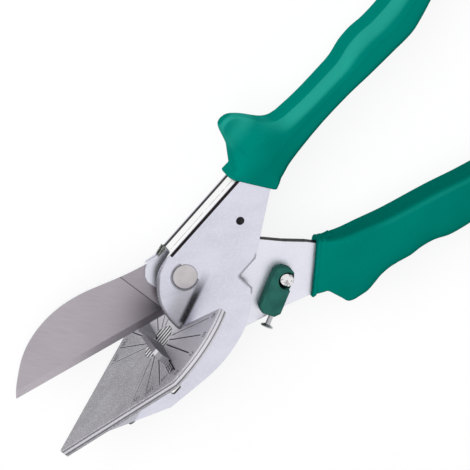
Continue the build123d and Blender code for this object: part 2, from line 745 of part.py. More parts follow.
# Core that fills the lever behind the blade, and the rivets that hold the stack
with BuildPart() as lever_core:
    with BuildSketch(on_lever(-blade_gauge / 2)):
        with BuildLine():
            Polyline(*lever_outline, close=True)
        make_face()
        with Locations((core_start, -core_shelf_drop)):
            Rectangle(2 * neck, 2 * neck, align=(Align.MAX, Align.MIN), mode=Mode.SUBTRACT)
        for place in lever_rivet_places:
            with Locations(place):
                Circle(rivet_radius + pivot_bore_clearance, mode=Mode.SUBTRACT)
        with Locations((latch_screw_back, -latch_screw_drop)):
            Circle(latch_screw_radius + pivot_bore_clearance, mode=Mode.SUBTRACT)
    extrude(amount=blade_gauge)
save(lever_core, "lever_core")

with BuildPart() as lever_rivets:
    with BuildSketch(on_lever(-lever_half)):
        for place in lever_rivet_places:
            with Locations(place):
                Circle(rivet_radius)
    extrude(amount=2 * lever_half)
save(lever_rivets, "lever_rivets")

tail_middle = -lever_tail_top - lever_tail_height / 2
with BuildPart() as tail_spacers:
    with BuildSketch(on_lever(-tail_inner)):
        for place in tail_spacer_places:
            with Locations((place, tail_middle)):
                Circle(tail_spacer_radius)
                Circle(tail_rivet_radius + pivot_bore_clearance, mode=Mode.SUBTRACT)
    extrude(amount=2 * tail_inner)
save(tail_spacers, "tail_spacers")

with BuildPart() as tail_rivets:
    with BuildSketch(on_lever(-tail_half)):
        for place in tail_spacer_places:
            with Locations((place, tail_middle)):
                Circle(tail_rivet_radius)
    extrude(amount=2 * tail_half)
save(tail_rivets, "tail_rivets")

# Blade screws with low slotted heads on the front plate
with BuildPart() as blade_screws:
    with BuildSketch(on_lever(-lever_half)):
        for place in blade_screw_places:
            with Locations(place):
                Circle(blade_screw_radius)
    extrude(amount=2 * lever_half)
    with BuildSketch(on_lever(lever_half)):
        for place in blade_screw_places:
            with Locations(place):
                Circle(blade_screw_head_radius)
    extrude(amount=blade_screw_head_height)
    with BuildSketch(on_lever(lever_half + blade_screw_head_height)):
        for place in blade_screw_places:
            with Locations(place):
                Rectangle(2 * blade_screw_head_radius, driver_slot_width)
    extrude(amount=-driver_slot_depth, mode=Mode.SUBTRACT)
save(blade_screws, "blade_screws")

# Return spring: one unbroken wire, a leg under the spine, a coil round the pivot and a leg on the post
spring_low = -inner_half + spring_wall_gap + spring_wire / 2
spring_rise = spring_pitch * spring_turns
coil_start = 90 + spring_frame_leg_angle
coil_end = coil_start + 360 * spring_turns


def coil_point(share):
    """A point of the coil's centre line, from the frame leg's end to the lever leg's."""
    angle = radians(coil_start + (coil_end - coil_start) * share)
    height = spring_low + spring_rise * share
    return (spring_mean_radius * cos(angle), spring_mean_radius * sin(angle), height)


frame_leg_run = (cos(radians(coil_start - 90)), sin(radians(coil_start - 90)))
lever_leg_run = (cos(radians(coil_end + 90)), sin(radians(coil_end + 90)))
coil_steps = int(spring_turns * spring_points_per_turn)
coil_line = [coil_point(count / coil_steps) for count in range(coil_steps + 1)]


def leg_points(foot, run, length):
    """Points along a straight leg, from its foot on the coil to its end."""
    steps = [length * (count + 1) / spring_leg_points for count in range(spring_leg_points)]
    return [(foot[0] + run[0] * step, foot[1] + run[1] * step, foot[2]) for step in steps]


frame_leg = leg_points(coil_line[0], frame_leg_run, spring_frame_leg)
lever_leg = leg_points(coil_line[-1], lever_leg_run, spring_lever_leg)
spring_line = [*reversed(frame_leg), *coil_line, *lever_leg]
neighbours = int(spring_neighbour_share * spring_points_per_turn)
least_gap = min(
    hypot(a[0] - b[0], a[1] - b[1], a[2] - b[2]) - spring_wire
    for here, a in enumerate(spring_line)
    for b in spring_line[here + neighbours:]
)
print(f"return_spring least gap to itself {least_gap:.2f} mm")

coil_place = Location((pivot_x, pivot_y, spring_low), (0, 0, coil_start))
coil = coil_place * Helix(spring_pitch, spring_rise, spring_mean_radius)
with BuildPart() as return_spring:
    with BuildSketch(Plane(origin=coil @ 0, z_dir=coil % 0)):
        Circle(spring_wire / 2)
    sweep(path=coil, is_frenet=True)
    legs = ((coil_line[0], frame_leg_run, spring_frame_leg), (coil_line[-1], lever_leg_run, spring_lever_leg))
    for (foot_x, foot_y, foot_z), run, length in legs:
        foot = (foot_x + pivot_x, foot_y + pivot_y, foot_z)
        with BuildSketch(Plane(origin=foot, z_dir=(run[0], run[1], 0))):
            Circle(spring_wire / 2)
        extrude(amount=length)
        with Locations(foot):
            Sphere(spring_wire / 2)
save(return_spring, "return_spring")

post_distance = spring_lever_leg * spring_post_place_share
post_offset = spring_wire / 2 + spring_post_gap + spring_post_radius
post_x = coil_line[-1][0] + lever_leg_run[0] * post_distance + lever_leg_run[1] * post_offset
post_y = coil_line[-1][1] + lever_leg_run[1] * post_distance - lever_leg_run[0] * post_offset
with BuildPart() as spring_post:
    with BuildSketch(on_lever(-lever_half)):
        with Locations((post_x, post_y)):
            Circle(spring_post_radius)
    extrude(amount=-spring_post_height)
save(spring_post, "spring_post")


def on_latch(height):
    """A plane on the latch screw: x runs down the latch towards its stud."""
    lean = radians(-latch_lean - open_angle)
    origin = lever_point(latch_screw_back, -latch_screw_drop, height)
    return Plane(origin=origin, x_dir=(cos(lean), sin(lean), 0), z_dir=(0, 0, 1))


# Latch: a thick green lever on a domed screw, with a headed stud in its foot
latch_low = lever_half + latch_washer_thickness
latch_high = latch_low + latch_thickness
latch_middle = (latch_low + latch_high) / 2
latch_seat = latch_high - latch_recess_depth
latch_recess_radius = latch_screw_head_radius + latch_recess_clearance

with BuildPart() as latch_washer:
    with BuildSketch(on_latch(lever_half)):
        Circle(latch_washer_radius)
        Circle(latch_screw_radius + pivot_bore_clearance, mode=Mode.SUBTRACT)
    extrude(amount=latch_washer_thickness)
save(latch_washer, "latch_washer")

with BuildPart() as latch_lever:
    with BuildSketch(on_latch(latch_low)):
        with BuildLine():
            Polyline((-latch_top, -latch_far_side), (latch_length, -latch_far_side),
                     (latch_length, latch_near_side), (-latch_top, latch_near_side), close=True)
        make_face()
    extrude(amount=latch_thickness)
    latch_corners = latch_lever.edges().filter_by(Axis.Z)
    latch_corners = latch_corners.sort_by(lambda edge: on_latch(latch_low).to_local_coords(edge.center()).X)
    chamfer(latch_corners[-2:], latch_foot_chamfer)
    latch_corners = latch_lever.edges().filter_by(Axis.Z)
    latch_corners = latch_corners.sort_by(lambda edge: on_latch(latch_low).to_local_coords(edge.center()).X)
    fillet(latch_corners[:2], latch_top_fillet)
    fillet(latch_lever.faces().sort_by(Axis.Z)[-1].edges(), latch_edge_fillet)
    with BuildSketch(on_latch(latch_high)):
        Circle(latch_recess_radius)
        Rectangle(2 * latch_recess_radius, overrun, align=(Align.CENTER, Align.MIN))
    extrude(amount=-latch_recess_depth, mode=Mode.SUBTRACT)
    with BuildSketch(on_latch(latch_low)):
        Circle(latch_screw_radius + running_clearance)
    extrude(amount=latch_thickness, mode=Mode.SUBTRACT)
    stud_root = on_latch(latch_middle).from_local_coords((latch_length - latch_stud_grip, 0, 0))
    with BuildSketch(Plane(origin=stud_root, z_dir=on_latch(0).x_dir)):
        Circle(latch_stud_radius + pivot_bore_clearance)
    extrude(amount=latch_stud_grip, mode=Mode.SUBTRACT)
save(latch_lever, "latch_lever")

with BuildPart() as latch_stud:
    stud_plane = Plane(origin=stud_root, x_dir=(0, 0, 1), z_dir=on_latch(0).x_dir)
    stud_end = latch_stud_grip + latch_stud_reach
    with BuildSketch(stud_plane):
        Circle(latch_stud_radius)
    extrude(amount=stud_end - latch_stud_head_rim)
    with BuildSketch(stud_plane.offset(stud_end - latch_stud_head_height)):
        Circle(latch_stud_radius)
    with BuildSketch(stud_plane.offset(stud_end - latch_stud_head_rim)):
        Circle(latch_stud_head_radius)
    loft()
    with BuildSketch(stud_plane.offset(stud_end - latch_stud_head_rim)):
        Circle(latch_stud_head_radius)
    extrude(amount=latch_stud_head_rim)
save(latch_stud, "latch_stud")

with BuildPart() as latch_screw:
    with BuildSketch(on_latch(-lever_half)):
        Circle(latch_screw_radius)
    extrude(amount=lever_half + latch_seat)
    with BuildSketch(on_latch(latch_seat)):
        Circle(latch_screw_head_radius)
    extrude(amount=latch_screw_head_height + latch_screw_dome)
    fillet(latch_screw.edges().sort_by(Axis.Z)[-1], latch_screw_dome)
    with BuildSketch(on_latch(latch_seat + latch_screw_head_height + latch_screw_dome)):
        Rectangle(2 * latch_screw_head_radius, driver_slot_width)
    extrude(amount=-driver_slot_depth, mode=Mode.SUBTRACT)
save(latch_screw, "latch_screw")

# Grips: moulded sleeves lofted through rounded sections, each with a horn beside its cuff
frame_fit = half_width + grip_fit_gap
with BuildPart() as frame_room:
    with BuildSketch(across_frame(spine_start)):
        with Locations((0, spine_height + grip_fit_gap)):
            room = Rectangle(2 * frame_fit, 2 * jaw_drop, align=(Align.CENTER, Align.MAX))
        fillet(room.vertices().sort_by(Axis.Y)[-2:], frame_bend_radius + grip_fit_gap)
    extrude(amount=frame_tail_reach - spine_start + grip_fit_gap)
    with BuildSketch(at_pivot(-frame_fit)):
        with BuildLine():
            Polyline((spine_start, -jaw_drop), notch_high,
                     (neck_corner_back, -neck_corner_drop - grip_fit_gap),
                     (frame_tail_taper_start, frame_tail_floor - grip_fit_gap),
                     (frame_tail_reach + grip_fit_gap, frame_tail_floor - grip_fit_gap),
                     (frame_tail_reach + grip_fit_gap, spine_height + grip_fit_gap),
                     (spine_start, spine_height + grip_fit_gap), close=True)
        make_face()
    extrude(amount=2 * frame_fit, mode=Mode.INTERSECT)

with BuildPart() as upper_grip:
    for reach, top, floor, width in upper_grip_shares:
        with BuildSketch(across_frame(reach * upper_grip_end)):
            height = (top - floor) * spine_height
            corner = grip_corner_share * min(height, width * frame_width)
            with Locations((0, floor * spine_height + height / 2)):
                RectangleRounded(width * frame_width, height, corner)
    loft()
    for reach, half_length, height, half_side in horn_shares:
        centre = (pivot_x + reach * upper_grip_end, pivot_y + height * spine_height, 0)
        with BuildSketch(Plane(origin=centre, x_dir=(1, 0, 0), z_dir=(0, 1, 0))):
            Ellipse(half_length * upper_grip_end, half_side * frame_width)
    loft()
    cuff_lean = radians(upper_cuff_lean)
    split(bisect_by=Plane(origin=at_pivot().from_local_coords((upper_cuff_back, upper_cuff_rise, 0)),
                          z_dir=(cos(cuff_lean), sin(cuff_lean), 0)), keep=Keep.TOP)
    add(frame_room.part, mode=Mode.SUBTRACT)
save(upper_grip, "upper_grip")

with BuildPart() as lever_room:
    with BuildSketch(on_lever(-lever_half - grip_fit_gap)):
        with BuildLine():
            Polyline(*lever_outline, close=True)
        make_face()
        offset(amount=grip_fit_gap)
    extrude(amount=2 * (lever_half + grip_fit_gap))
    with BuildSketch(down_lever(-lever_tail_top + grip_fit_gap)):
        for side in (1, -1):
            with BuildLine():
                Polyline((lever_tail_start - lever_tail_height / 2, 0),
                         (lever_tail_start - lever_tail_height / 2, side * (lever_half + grip_fit_gap)),
                         (lever_tail_flare_start - lever_plate_gauge / 2 - grip_fit_gap,
                          side * (lever_half + grip_fit_gap)),
                         (lever_tail_flare_end - lever_plate_gauge / 2 - grip_fit_gap,
                          side * (tail_half + grip_fit_gap)),
                         (lever_tail_reach + grip_fit_gap, side * (tail_half + grip_fit_gap)),
                         (lever_tail_reach + grip_fit_gap, 0), close=True)
            make_face()
    extrude(amount=lever_tail_height + 2 * grip_fit_gap)

with BuildPart() as lower_grip:
    for reach, top, floor, width in lower_grip_shares:
        with BuildSketch(across_lever(reach * lower_grip_end)):
            height = (top - floor) * neck
            corner = grip_corner_share * min(height, width * frame_width)
            with Locations((0, floor * neck + height / 2)):
                RectangleRounded(width * frame_width, height, corner)
    loft()
    for reach, half_length, height, half_side in finger_horn_shares:
        with BuildSketch(Plane(origin=lever_point(reach * lower_grip_end, height * neck),
                               x_dir=on_lever().x_dir, z_dir=-on_lever().y_dir)):
            Ellipse(half_length * lower_grip_end, half_side * frame_width)
    loft()
    cuff_lean = radians(lower_cuff_lean + open_angle)
    split(bisect_by=Plane(origin=lever_point(lower_cuff_back, -lower_cuff_drop),
                          z_dir=(cos(cuff_lean), -sin(cuff_lean), 0)), keep=Keep.TOP)
    add(lever_room.part, mode=Mode.SUBTRACT)
save(lower_grip, "lower_grip")
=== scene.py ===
"""Dresses the packed mitre shears: steel finishes, moulded grips, the anvil's numbers and a plain stage."""

import json
import math

import bmesh
import bpy
from bpy.props import FloatProperty, FloatVectorProperty, IntProperty, PointerProperty
from mathutils import Euler, Matrix, Vector


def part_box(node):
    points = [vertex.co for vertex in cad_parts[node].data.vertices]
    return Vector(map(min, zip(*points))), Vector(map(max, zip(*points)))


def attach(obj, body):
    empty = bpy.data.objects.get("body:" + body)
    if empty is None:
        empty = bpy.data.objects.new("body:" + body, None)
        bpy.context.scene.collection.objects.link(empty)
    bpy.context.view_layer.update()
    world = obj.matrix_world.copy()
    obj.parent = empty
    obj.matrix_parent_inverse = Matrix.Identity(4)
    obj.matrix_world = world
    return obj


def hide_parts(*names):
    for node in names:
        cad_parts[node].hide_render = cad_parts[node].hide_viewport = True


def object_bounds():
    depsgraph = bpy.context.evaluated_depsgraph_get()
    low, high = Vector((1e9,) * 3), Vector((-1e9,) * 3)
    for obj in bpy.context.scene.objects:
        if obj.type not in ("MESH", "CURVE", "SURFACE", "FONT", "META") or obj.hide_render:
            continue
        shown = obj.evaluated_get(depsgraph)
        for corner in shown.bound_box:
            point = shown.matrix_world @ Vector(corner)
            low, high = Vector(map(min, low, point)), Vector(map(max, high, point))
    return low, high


bl_info = {
    "name": "Mitre Shears",
    "version": (1, 0, 0),
    "blender": (4, 5, 0),
    "location": "View3D > Sidebar > Shears",
    "description": "Builds the finishes, grips, scale and stage of a pair of mitre shears",
    "category": "Add Mesh",
}

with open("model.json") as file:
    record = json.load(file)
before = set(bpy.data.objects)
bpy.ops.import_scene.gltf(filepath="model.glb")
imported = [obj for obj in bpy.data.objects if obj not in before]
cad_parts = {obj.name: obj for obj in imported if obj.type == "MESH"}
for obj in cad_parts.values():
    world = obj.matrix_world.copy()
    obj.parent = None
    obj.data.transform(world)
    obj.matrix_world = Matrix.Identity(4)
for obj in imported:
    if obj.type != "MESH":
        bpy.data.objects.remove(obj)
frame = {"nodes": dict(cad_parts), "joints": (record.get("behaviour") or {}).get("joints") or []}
CAD_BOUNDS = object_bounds()

MM = 0.001
JOINTS = {joint["name"]: joint for joint in frame["joints"]}
PIVOT = Vector(JOINTS["jaw_pivot"]["pos_m"])
SCALE_CENTRE = Vector(JOINTS["fence_swing"]["pos_m"])
LATCH_SCREW = Vector(JOINTS["latch_swing"]["pos_m"])
OPEN_ANGLE = math.radians(JOINTS["jaw_pivot"]["range_deg"][1])
ANVIL_FACE = SCALE_CENTRE.y

# Profiles of the grips, in millimetres behind the main pivot. The lower ones are seen with the jaws shut.
UPPER_TOP = [(44, 14.8), (46.5, 15.6), (49.5, 15.5), (52, 15.4), (55, 15.8), (60, 16.8), (66, 17.2), (75, 16.8),
             (92, 14.8), (108, 14.2), (115, 14.3), (123, 15.8), (130, 15.9), (137, 14.9), (146, 14.7),
             (158, 15.4), (168, 15.2), (174, 13.6), (177, 11.2)]
UPPER_HORN = [(50.0, 0), (51.8, 1.2), (54.0, 4.2), (56.2, 8.4), (57.6, 11.8), (58.8, 14.6), (60.3, 16.2),
              (63, 16.4), (66, 15.2), (68.5, 12.6), (70.7, 9.4), (72.6, 6.0), (74.8, 2.8), (77.5, 0.8), (81, 0)]
UPPER_FLOOR = [(44, -5.6), (55, -5.0), (62, -3.8), (68, -2.4), (80, -1.4), (92, -1.0), (108, -1.5), (122, -2.8),
               (135, -3.7), (146, -4.3), (154, -2.9), (162, -0.9), (170, 0.8), (174.5, 2.6), (177, 5.4)]
UPPER_SIDE = [(44, 10.0), (58, 10.3), (81, 10.3), (103, 10.4), (120, 10.7), (138, 10.8), (154, 10.4), (166, 9.2),
              (173, 7.2), (177, 4.2)]
LOWER_TOP = [(44, -14.6), (54, -16.4), (60, -17.8), (66, -20.0), (72, -21.5), (80.6, -22.4), (94.4, -23.7),
             (117, -24.3), (131, -25.2), (150, -25.8), (165, -26.8), (173, -28.8), (177, -31.6)]
LOWER_FLOOR = [(44, -41.4), (48.6, -40.6), (53, -41.2), (60, -43.4), (68, -45.4), (80, -46.3), (94.2, -46.8),
               (100, -45.9), (107, -45.9), (115, -47.6), (128, -47.4), (142, -46.6), (156, -46.6), (168, -44.6),
               (174, -42.2), (177, -39.2)]
LOWER_HORN = [(51.5, 0), (53.4, 0.5), (55.6, 2.0), (57.2, 4.4), (58.6, 7.2), (59.9, 8.4), (62.5, 8.4), (66, 7.4),
              (70, 6.4), (74, 4.4), (78, 2.2), (83, 0.6), (88, 0)]
LOWER_SIDE = [(44, 5.3), (52, 5.5), (57, 6.0), (65.5, 8.0), (81, 9.3), (99, 9.7), (130, 9.7), (156, 9.3),
              (167, 8.0), (173, 6.2), (177, 3.6)]
# Steps behind the mouth, with how far the skin stands proud there
UPPER_BANDS = [(0.0, -0.6), (0.25, -0.2), (0.7, 0.0), (4.0, 0.0), (8.0, 0.0)]
LOWER_BANDS = [(0.0, -0.5), (0.3, 0.0), (0.8, 0.25), (1.6, 0.25), (2.0, -0.05), (2.5, -0.05), (2.9, 0.15),
               (5.2, 0.15), (5.7, -0.05), (6.4, 0.0), (9.0, 0.0)]
# Where both grips end, and the rings that round the end off: how far past it and how much smaller
GRIP_END = 175.6
GRIP_TAIL = [(0.5, -0.35), (0.9, -0.9), (1.2, -1.8), (1.35, -3.0)]
# Half sections from top to floor as shares of half the height and of half the width
MOUTH_SHARES = [(1.0, 0.0), (1.0, 0.48), (0.95, 0.8), (0.8, 0.95), (0.3, 1.0), (-0.3, 1.0), (-0.85, 0.99),
                (-0.98, 0.86), (-1.0, 0.5), (-1.0, 0.0)]
UPPER_SHARES = [(1.0, 0.0), (0.99, 0.34), (0.9, 0.62), (0.78, 0.74), (0.3, 0.94), (-0.02, 1.0), (-0.14, 0.99),
                (-0.7, 0.93), (-0.92, 0.72), (-1.0, 0.4), (-1.0, 0.0)]
LOWER_SHARES = [(1.0, 0.0), (1.0, 0.5), (0.96, 0.8), (0.8, 0.95), (0.68, 0.985), (0.1, 1.0), (-0.5, 0.94),
                (-0.86, 0.78), (-0.98, 0.45), (-1.0, 0.0)]


# Name, place, side and power of each lamp of the stage
LAMPS = (("key", (-0.15, 0.62, 1.1), 0.8, 15.0), ("fill", (0.8, 0.0, 0.8), 1.0, 2.5))


class GripSizes(bpy.types.PropertyGroup):
    """Sizes of the two moulded grips"""
    ring_points: IntProperty(name="Points round", default=72, min=24, max=128, description="Points in each ring")
    ring_step: FloatProperty(name="Ring step", default=0.6 * MM, unit="LENGTH", description="Distance between rings")
    wall: FloatProperty(name="Wall", default=1.6 * MM, unit="LENGTH", description="Wall seen at the mouth")
    mouth_depth: FloatProperty(name="Mouth depth", default=12.0 * MM, unit="LENGTH", description="Depth of the mouth")
    horn_taper: FloatProperty(name="Horn taper", default=0.5, min=0, max=1, description="Narrowing of the horns")
    colour: FloatVectorProperty(name="Green", subtype="COLOR", default=(0.0, 0.158, 0.124),
                                description="Colour of the moulded grips")


class SteelSizes(bpy.types.PropertyGroup):
    """Colours and edge size of the steel pieces"""
    edge: FloatProperty(name="Edge", default=0.25 * MM, unit="LENGTH", description="Radius seen on steel edges")
    sheet: FloatVectorProperty(name="Sheet", subtype="COLOR", default=(0.69, 0.69, 0.785), description="Side plates")
    blade: FloatVectorProperty(name="Blade", subtype="COLOR", default=(0.445, 0.41, 0.445), description="Blade faces")
    anvil: FloatVectorProperty(name="Anvil", subtype="COLOR", default=(0.45, 0.44, 0.475), description="Anvil face")
    pin: FloatVectorProperty(name="Pin", subtype="COLOR", default=(0.69, 0.655, 0.67), description="Turned pins")
    dark: FloatVectorProperty(name="Dark", subtype="COLOR", default=(0.12, 0.12, 0.13), description="Oiled steel")


class ScaleSizes(bpy.types.PropertyGroup):
    """Numbers and lines of the angle scale on the anvil"""
    number_height: FloatProperty(name="Number height", default=3.0 * MM, unit="LENGTH", description="Figure height")
    number_radius: FloatProperty(name="Number radius", default=39.4 * MM, unit="LENGTH", description="Figure place")
    tip_radius: FloatProperty(name="Tip radius", default=34.0 * MM, unit="LENGTH", description="Place beyond 90")
    tip_shift: FloatProperty(name="Tip shift", default=5.0, description="Degrees from a line beyond 90")
    ink_height: FloatProperty(name="Ink height", default=0.04 * MM, unit="LENGTH", description="How proud ink stands")
    first_angle: FloatProperty(name="First angle", default=45.0, description="First numbered angle in degrees")
    step_angle: FloatProperty(name="Step", default=15.0, description="Degrees between lines")
    line_inner: FloatProperty(name="Line start", default=9.6 * MM, unit="LENGTH", description="Inner end of a line")
    line_outer: FloatProperty(name="Line end", default=36.2 * MM, unit="LENGTH", description="Outer end of a line")
    line_width: FloatProperty(name="Line width", default=0.62 * MM, unit="LENGTH", description="Width of a line")
    line_sink: FloatProperty(name="Line sink", default=0.12 * MM, unit="LENGTH", description="Depth of the ink's top")


class StageSettings(bpy.types.PropertyGroup):
    """Camera, lights and floor"""
    eye: FloatVectorProperty(name="Eye", subtype="TRANSLATION", default=(0.046492, 0.307407, 0.809138),
                             description="Place of the camera")
    turn: FloatVectorProperty(name="Turn", subtype="EULER", description="Turn of the camera",
                              default=(math.radians(-16.912), math.radians(-13.380), math.radians(-46.927)))
    lens: FloatProperty(name="Lens", default=149.6, description="Focal length in millimetres on a 36 mm sensor")
    world_light: FloatProperty(name="World light", default=0.42, description="Strength of the even light")
    floor_size: FloatProperty(name="Floor", default=4.0, unit="LENGTH", description="Side of the floor")


def ramp_value(points, x):
    """The value of a profile at x, eased between its points."""
    if x <= points[0][0]:
        return points[0][1]
    for k in range(len(points) - 1):
        x0, y0 = points[k]
        x1, y1 = points[k + 1]
        if x <= x1:
            before = points[max(k - 1, 0)]
            after = points[min(k + 2, len(points) - 1)]
            slope0 = (y1 - before[1]) / (x1 - before[0])
            slope1 = (after[1] - y0) / (after[0] - x0)
            t = (x - x0) / (x1 - x0)
            run = x1 - x0
            return ((2 * t**3 - 3 * t**2 + 1) * y0 + (t**3 - 2 * t**2 + t) * run * slope0
                    + (3 * t**2 - 2 * t**3) * y1 + (t**3 - t**2) * run * slope1)
    return points[-1][1]


def smooth(value, low, high):
    """An eased step from 0 at low to 1 at high."""
    t = min(1.0, max(0.0, (value - low) / (high - low)))
    return t * t * (3 - 2 * t)


def from_upper(x, y, z):
    """A point given in millimetres from the pivot on the upper body."""
    return PIVOT + Vector((x, y, z)) * MM


def from_lever(u, v, z):
    """A point given in millimetres from the pivot on the shut lever."""
    turned = Matrix.Rotation(-OPEN_ANGLE, 3, "Z") @ Vector((u, v, z))
    return PIVOT + turned * MM


# Shader maths: a socket that can be used in Python sums, and a small builder for the other nodes


class Value:
    """A shader socket that adds a Math node for each Python operator used on it."""

    def __init__(self, finish, socket):
        self.finish = finish
        self.socket = socket

    def maths(self, operation, *others):
        return self.finish.node("ShaderNodeMath", {"operation": operation}, self, *others)

    def __add__(self, other):
        return self.maths("ADD", other)

    __radd__ = __add__

    def __sub__(self, other):
        return self.maths("SUBTRACT", other)

    def __rsub__(self, other):
        return self.finish.node("ShaderNodeMath", {"operation": "SUBTRACT"}, other, self)

    def __mul__(self, other):
        return self.maths("MULTIPLY", other)

    __rmul__ = __mul__

    def __truediv__(self, other):
        return self.maths("DIVIDE", other)

    def __pow__(self, other):
        return self.maths("POWER", other)

    def __gt__(self, other):
        return self.maths("GREATER_THAN", other)

    def __lt__(self, other):
        return self.maths("LESS_THAN", other)

    def absolute(self):
        return self.maths("ABSOLUTE")

    def sine(self):
        return self.maths("SINE")

    def least(self, other):
        return self.maths("MINIMUM", other)

    def band(self, low, high, soft):
        """1 between low and high with soft ends."""
        return self.eased(low - soft, low + soft) * (1.0 - self.eased(high - soft, high + soft))

    def most(self, other):
        return self.maths("MAXIMUM", other)

    def eased(self, low, high):
        """0 below low, 1 above high, and eased between."""
        return self.finish.node("ShaderNodeMapRange", {"interpolation_type": "SMOOTHSTEP"}, self, low, high, 0.0, 1.0)


class Finish:
    """Builds one material: a Principled shader and whatever feeds it."""

    def __init__(self, name):
        self.material = bpy.data.materials.new(name)
        self.material.use_nodes = True
        self.use(self.material.node_tree)
        self.shader = self.found("BSDF_PRINCIPLED")
        self.place = self.node("ShaderNodeTexCoord", {}, output="Object")

    def use(self, tree):
        """Takes the node tree that the nodes go into."""
        self.nodes = tree.nodes
        self.links = tree.links

    def found(self, kind):
        """The first node of a type."""
        return next(node for node in self.nodes if node.type == kind)

    def put(self, socket, value):
        """Links a value to a socket, or sets it there."""
        if isinstance(value, Value):
            self.links.new(value.socket, socket)
        elif isinstance(value, (tuple, list)) and len(value) == 3 and len(socket.default_value) == 4:
            socket.default_value = (*value, 1.0)
        else:
            socket.default_value = value

    def node(self, kind, settings, *values, output=0, **named):
        """Adds a node of a kind, sets it up, feeds its sockets and returns one output."""
        node = self.nodes.new(kind)
        for key, setting in settings.items():
            setattr(node, key, setting)
        sockets = [socket for socket in node.inputs if socket.enabled]
        for socket, value in zip(sockets, values):
            if value is not None:
                self.put(socket, value)
        for key, value in named.items():
            self.put(node.inputs[key.replace("_", " ")], value)
        return Value(self, node.outputs[output])

    def seen_from_pivot(self):
        """The three coordinates in millimetres from the main pivot."""
        return tuple((self.axis(letter) - start) / MM for letter, start in zip("XYZ", PIVOT))

    def rim(self, letter="Z"):
        """1 on the rims of a plate, 0 on its faces square to the axis."""
        return 1.0 - self.facing(letter).absolute().eased(0.4, 0.7)

    def noise(self, size, detail=2.0, stretch=(1.0, 1.0, 1.0), turn=0.0):
        """Noise whose grains are about size metres, stretched along the axes."""
        scale = tuple(1.0 / (size * s) for s in stretch)
        mapped = self.node("ShaderNodeMapping", {}, self.place, Rotation=(0.0, 0.0, turn))
        placed = self.node("ShaderNodeMapping", {}, mapped, Scale=scale)
        return self.node("ShaderNodeTexNoise", {}, placed, Scale=1.0, Detail=detail, Roughness=0.55)

    def axis(self, letter):
        """One coordinate of the piece, in metres."""
        return self.node("ShaderNodeSeparateXYZ", {}, self.place, output=letter)

    def mix(self, factor, low, high):
        """A colour between low and high."""
        node = self.nodes.new("ShaderNodeMix")
        node.data_type = "RGBA"
        colours = [socket for socket in node.inputs if socket.type == "RGBA"]
        self.put(node.inputs[0], factor)
        self.put(colours[0], low)
        self.put(colours[1], high)
        return Value(self, next(socket for socket in node.outputs if socket.type == "RGBA"))

    def bump(self, height, distance, strength=0.4, normal=None):
        """A bump of a real height on top of a normal."""
        named = {"Strength": strength, "Distance": distance, "Height": height}
        if normal is not None:
            named["Normal"] = normal
        return self.node("ShaderNodeBump", {}, **named)

    def rounded(self, radius):
        """Normals that see every edge as rounded."""
        return self.node("ShaderNodeBevel", {"samples": 6}, radius)

    def nearness(self, radius):
        """How far the rounded normal leans: 0 a radius away from an edge, about 0.3 on it."""
        normal = self.node("ShaderNodeNewGeometry", {}, output="Normal")
        aligned = self.node("ShaderNodeVectorMath", {"operation": "DOT_PRODUCT"}, normal, self.rounded(radius),
                            output="Value")
        return 1.0 - aligned

    def edges(self, radius):
        """A mask that is bright along edges."""
        return self.nearness(radius).eased(0.01, 0.2)

    def facing(self, letter):
        """How far the surface faces along an axis of the piece, from -1 to 1."""
        normal = self.node("ShaderNodeTexCoord", {}, output="Normal")
        return self.node("ShaderNodeSeparateXYZ", {}, normal, output=letter)

    def looked_at(self):
        """1 for what the camera sees, also by way of a mirror or through glass."""
        camera = self.node("ShaderNodeLightPath", {}, output="Is Camera Ray")
        rays = camera.socket.node.outputs
        return camera.most(Value(self, rays["Is Glossy Ray"])).most(Value(self, rays["Is Transmission Ray"]))

    def done(self, gloss=0.5, **sockets):
        """Feeds the shader and returns the material."""
        self.shader.inputs["Specular IOR Level"].default_value = gloss
        for key, value in sockets.items():
            self.put(self.shader.inputs[key.replace("_", " ")], value)
        return self.material


class Backdrop(Finish):
    """Builds the world's nodes in the same way."""

    def __init__(self, world):
        world.use_nodes = True
        self.use(world.node_tree)
        self.shader = self.found("BACKGROUND")


def shade(colour, factor):
    """A colour made lighter or darker."""
    return tuple(min(1.0, channel * factor) for channel in colour)


def ground_sheet(finish, turn):
    """The look that every bright sheet shares: soft clouds and a fine grain along one direction."""
    sizes = bpy.context.scene.shears_steel
    cloud = finish.noise(14 * MM, 2.0, (1.6, 1.0, 1.0), turn).eased(0.3, 0.7)
    grain = finish.noise(0.16 * MM, 2.0, (60.0, 1.0, 1.0), turn)
    fleck = finish.noise(1.1 * MM, 3.0).eased(0.45, 0.65)
    colour = finish.mix(cloud, shade(sizes.sheet, 0.93), shade(sizes.sheet, 1.04))
    colour = finish.mix(fleck * 0.35, colour, shade(sizes.sheet, 1.14))
    colour = finish.mix(grain.eased(0.42, 0.62) * 0.12, colour, shade(sizes.sheet, 0.75))
    return colour, cloud, grain


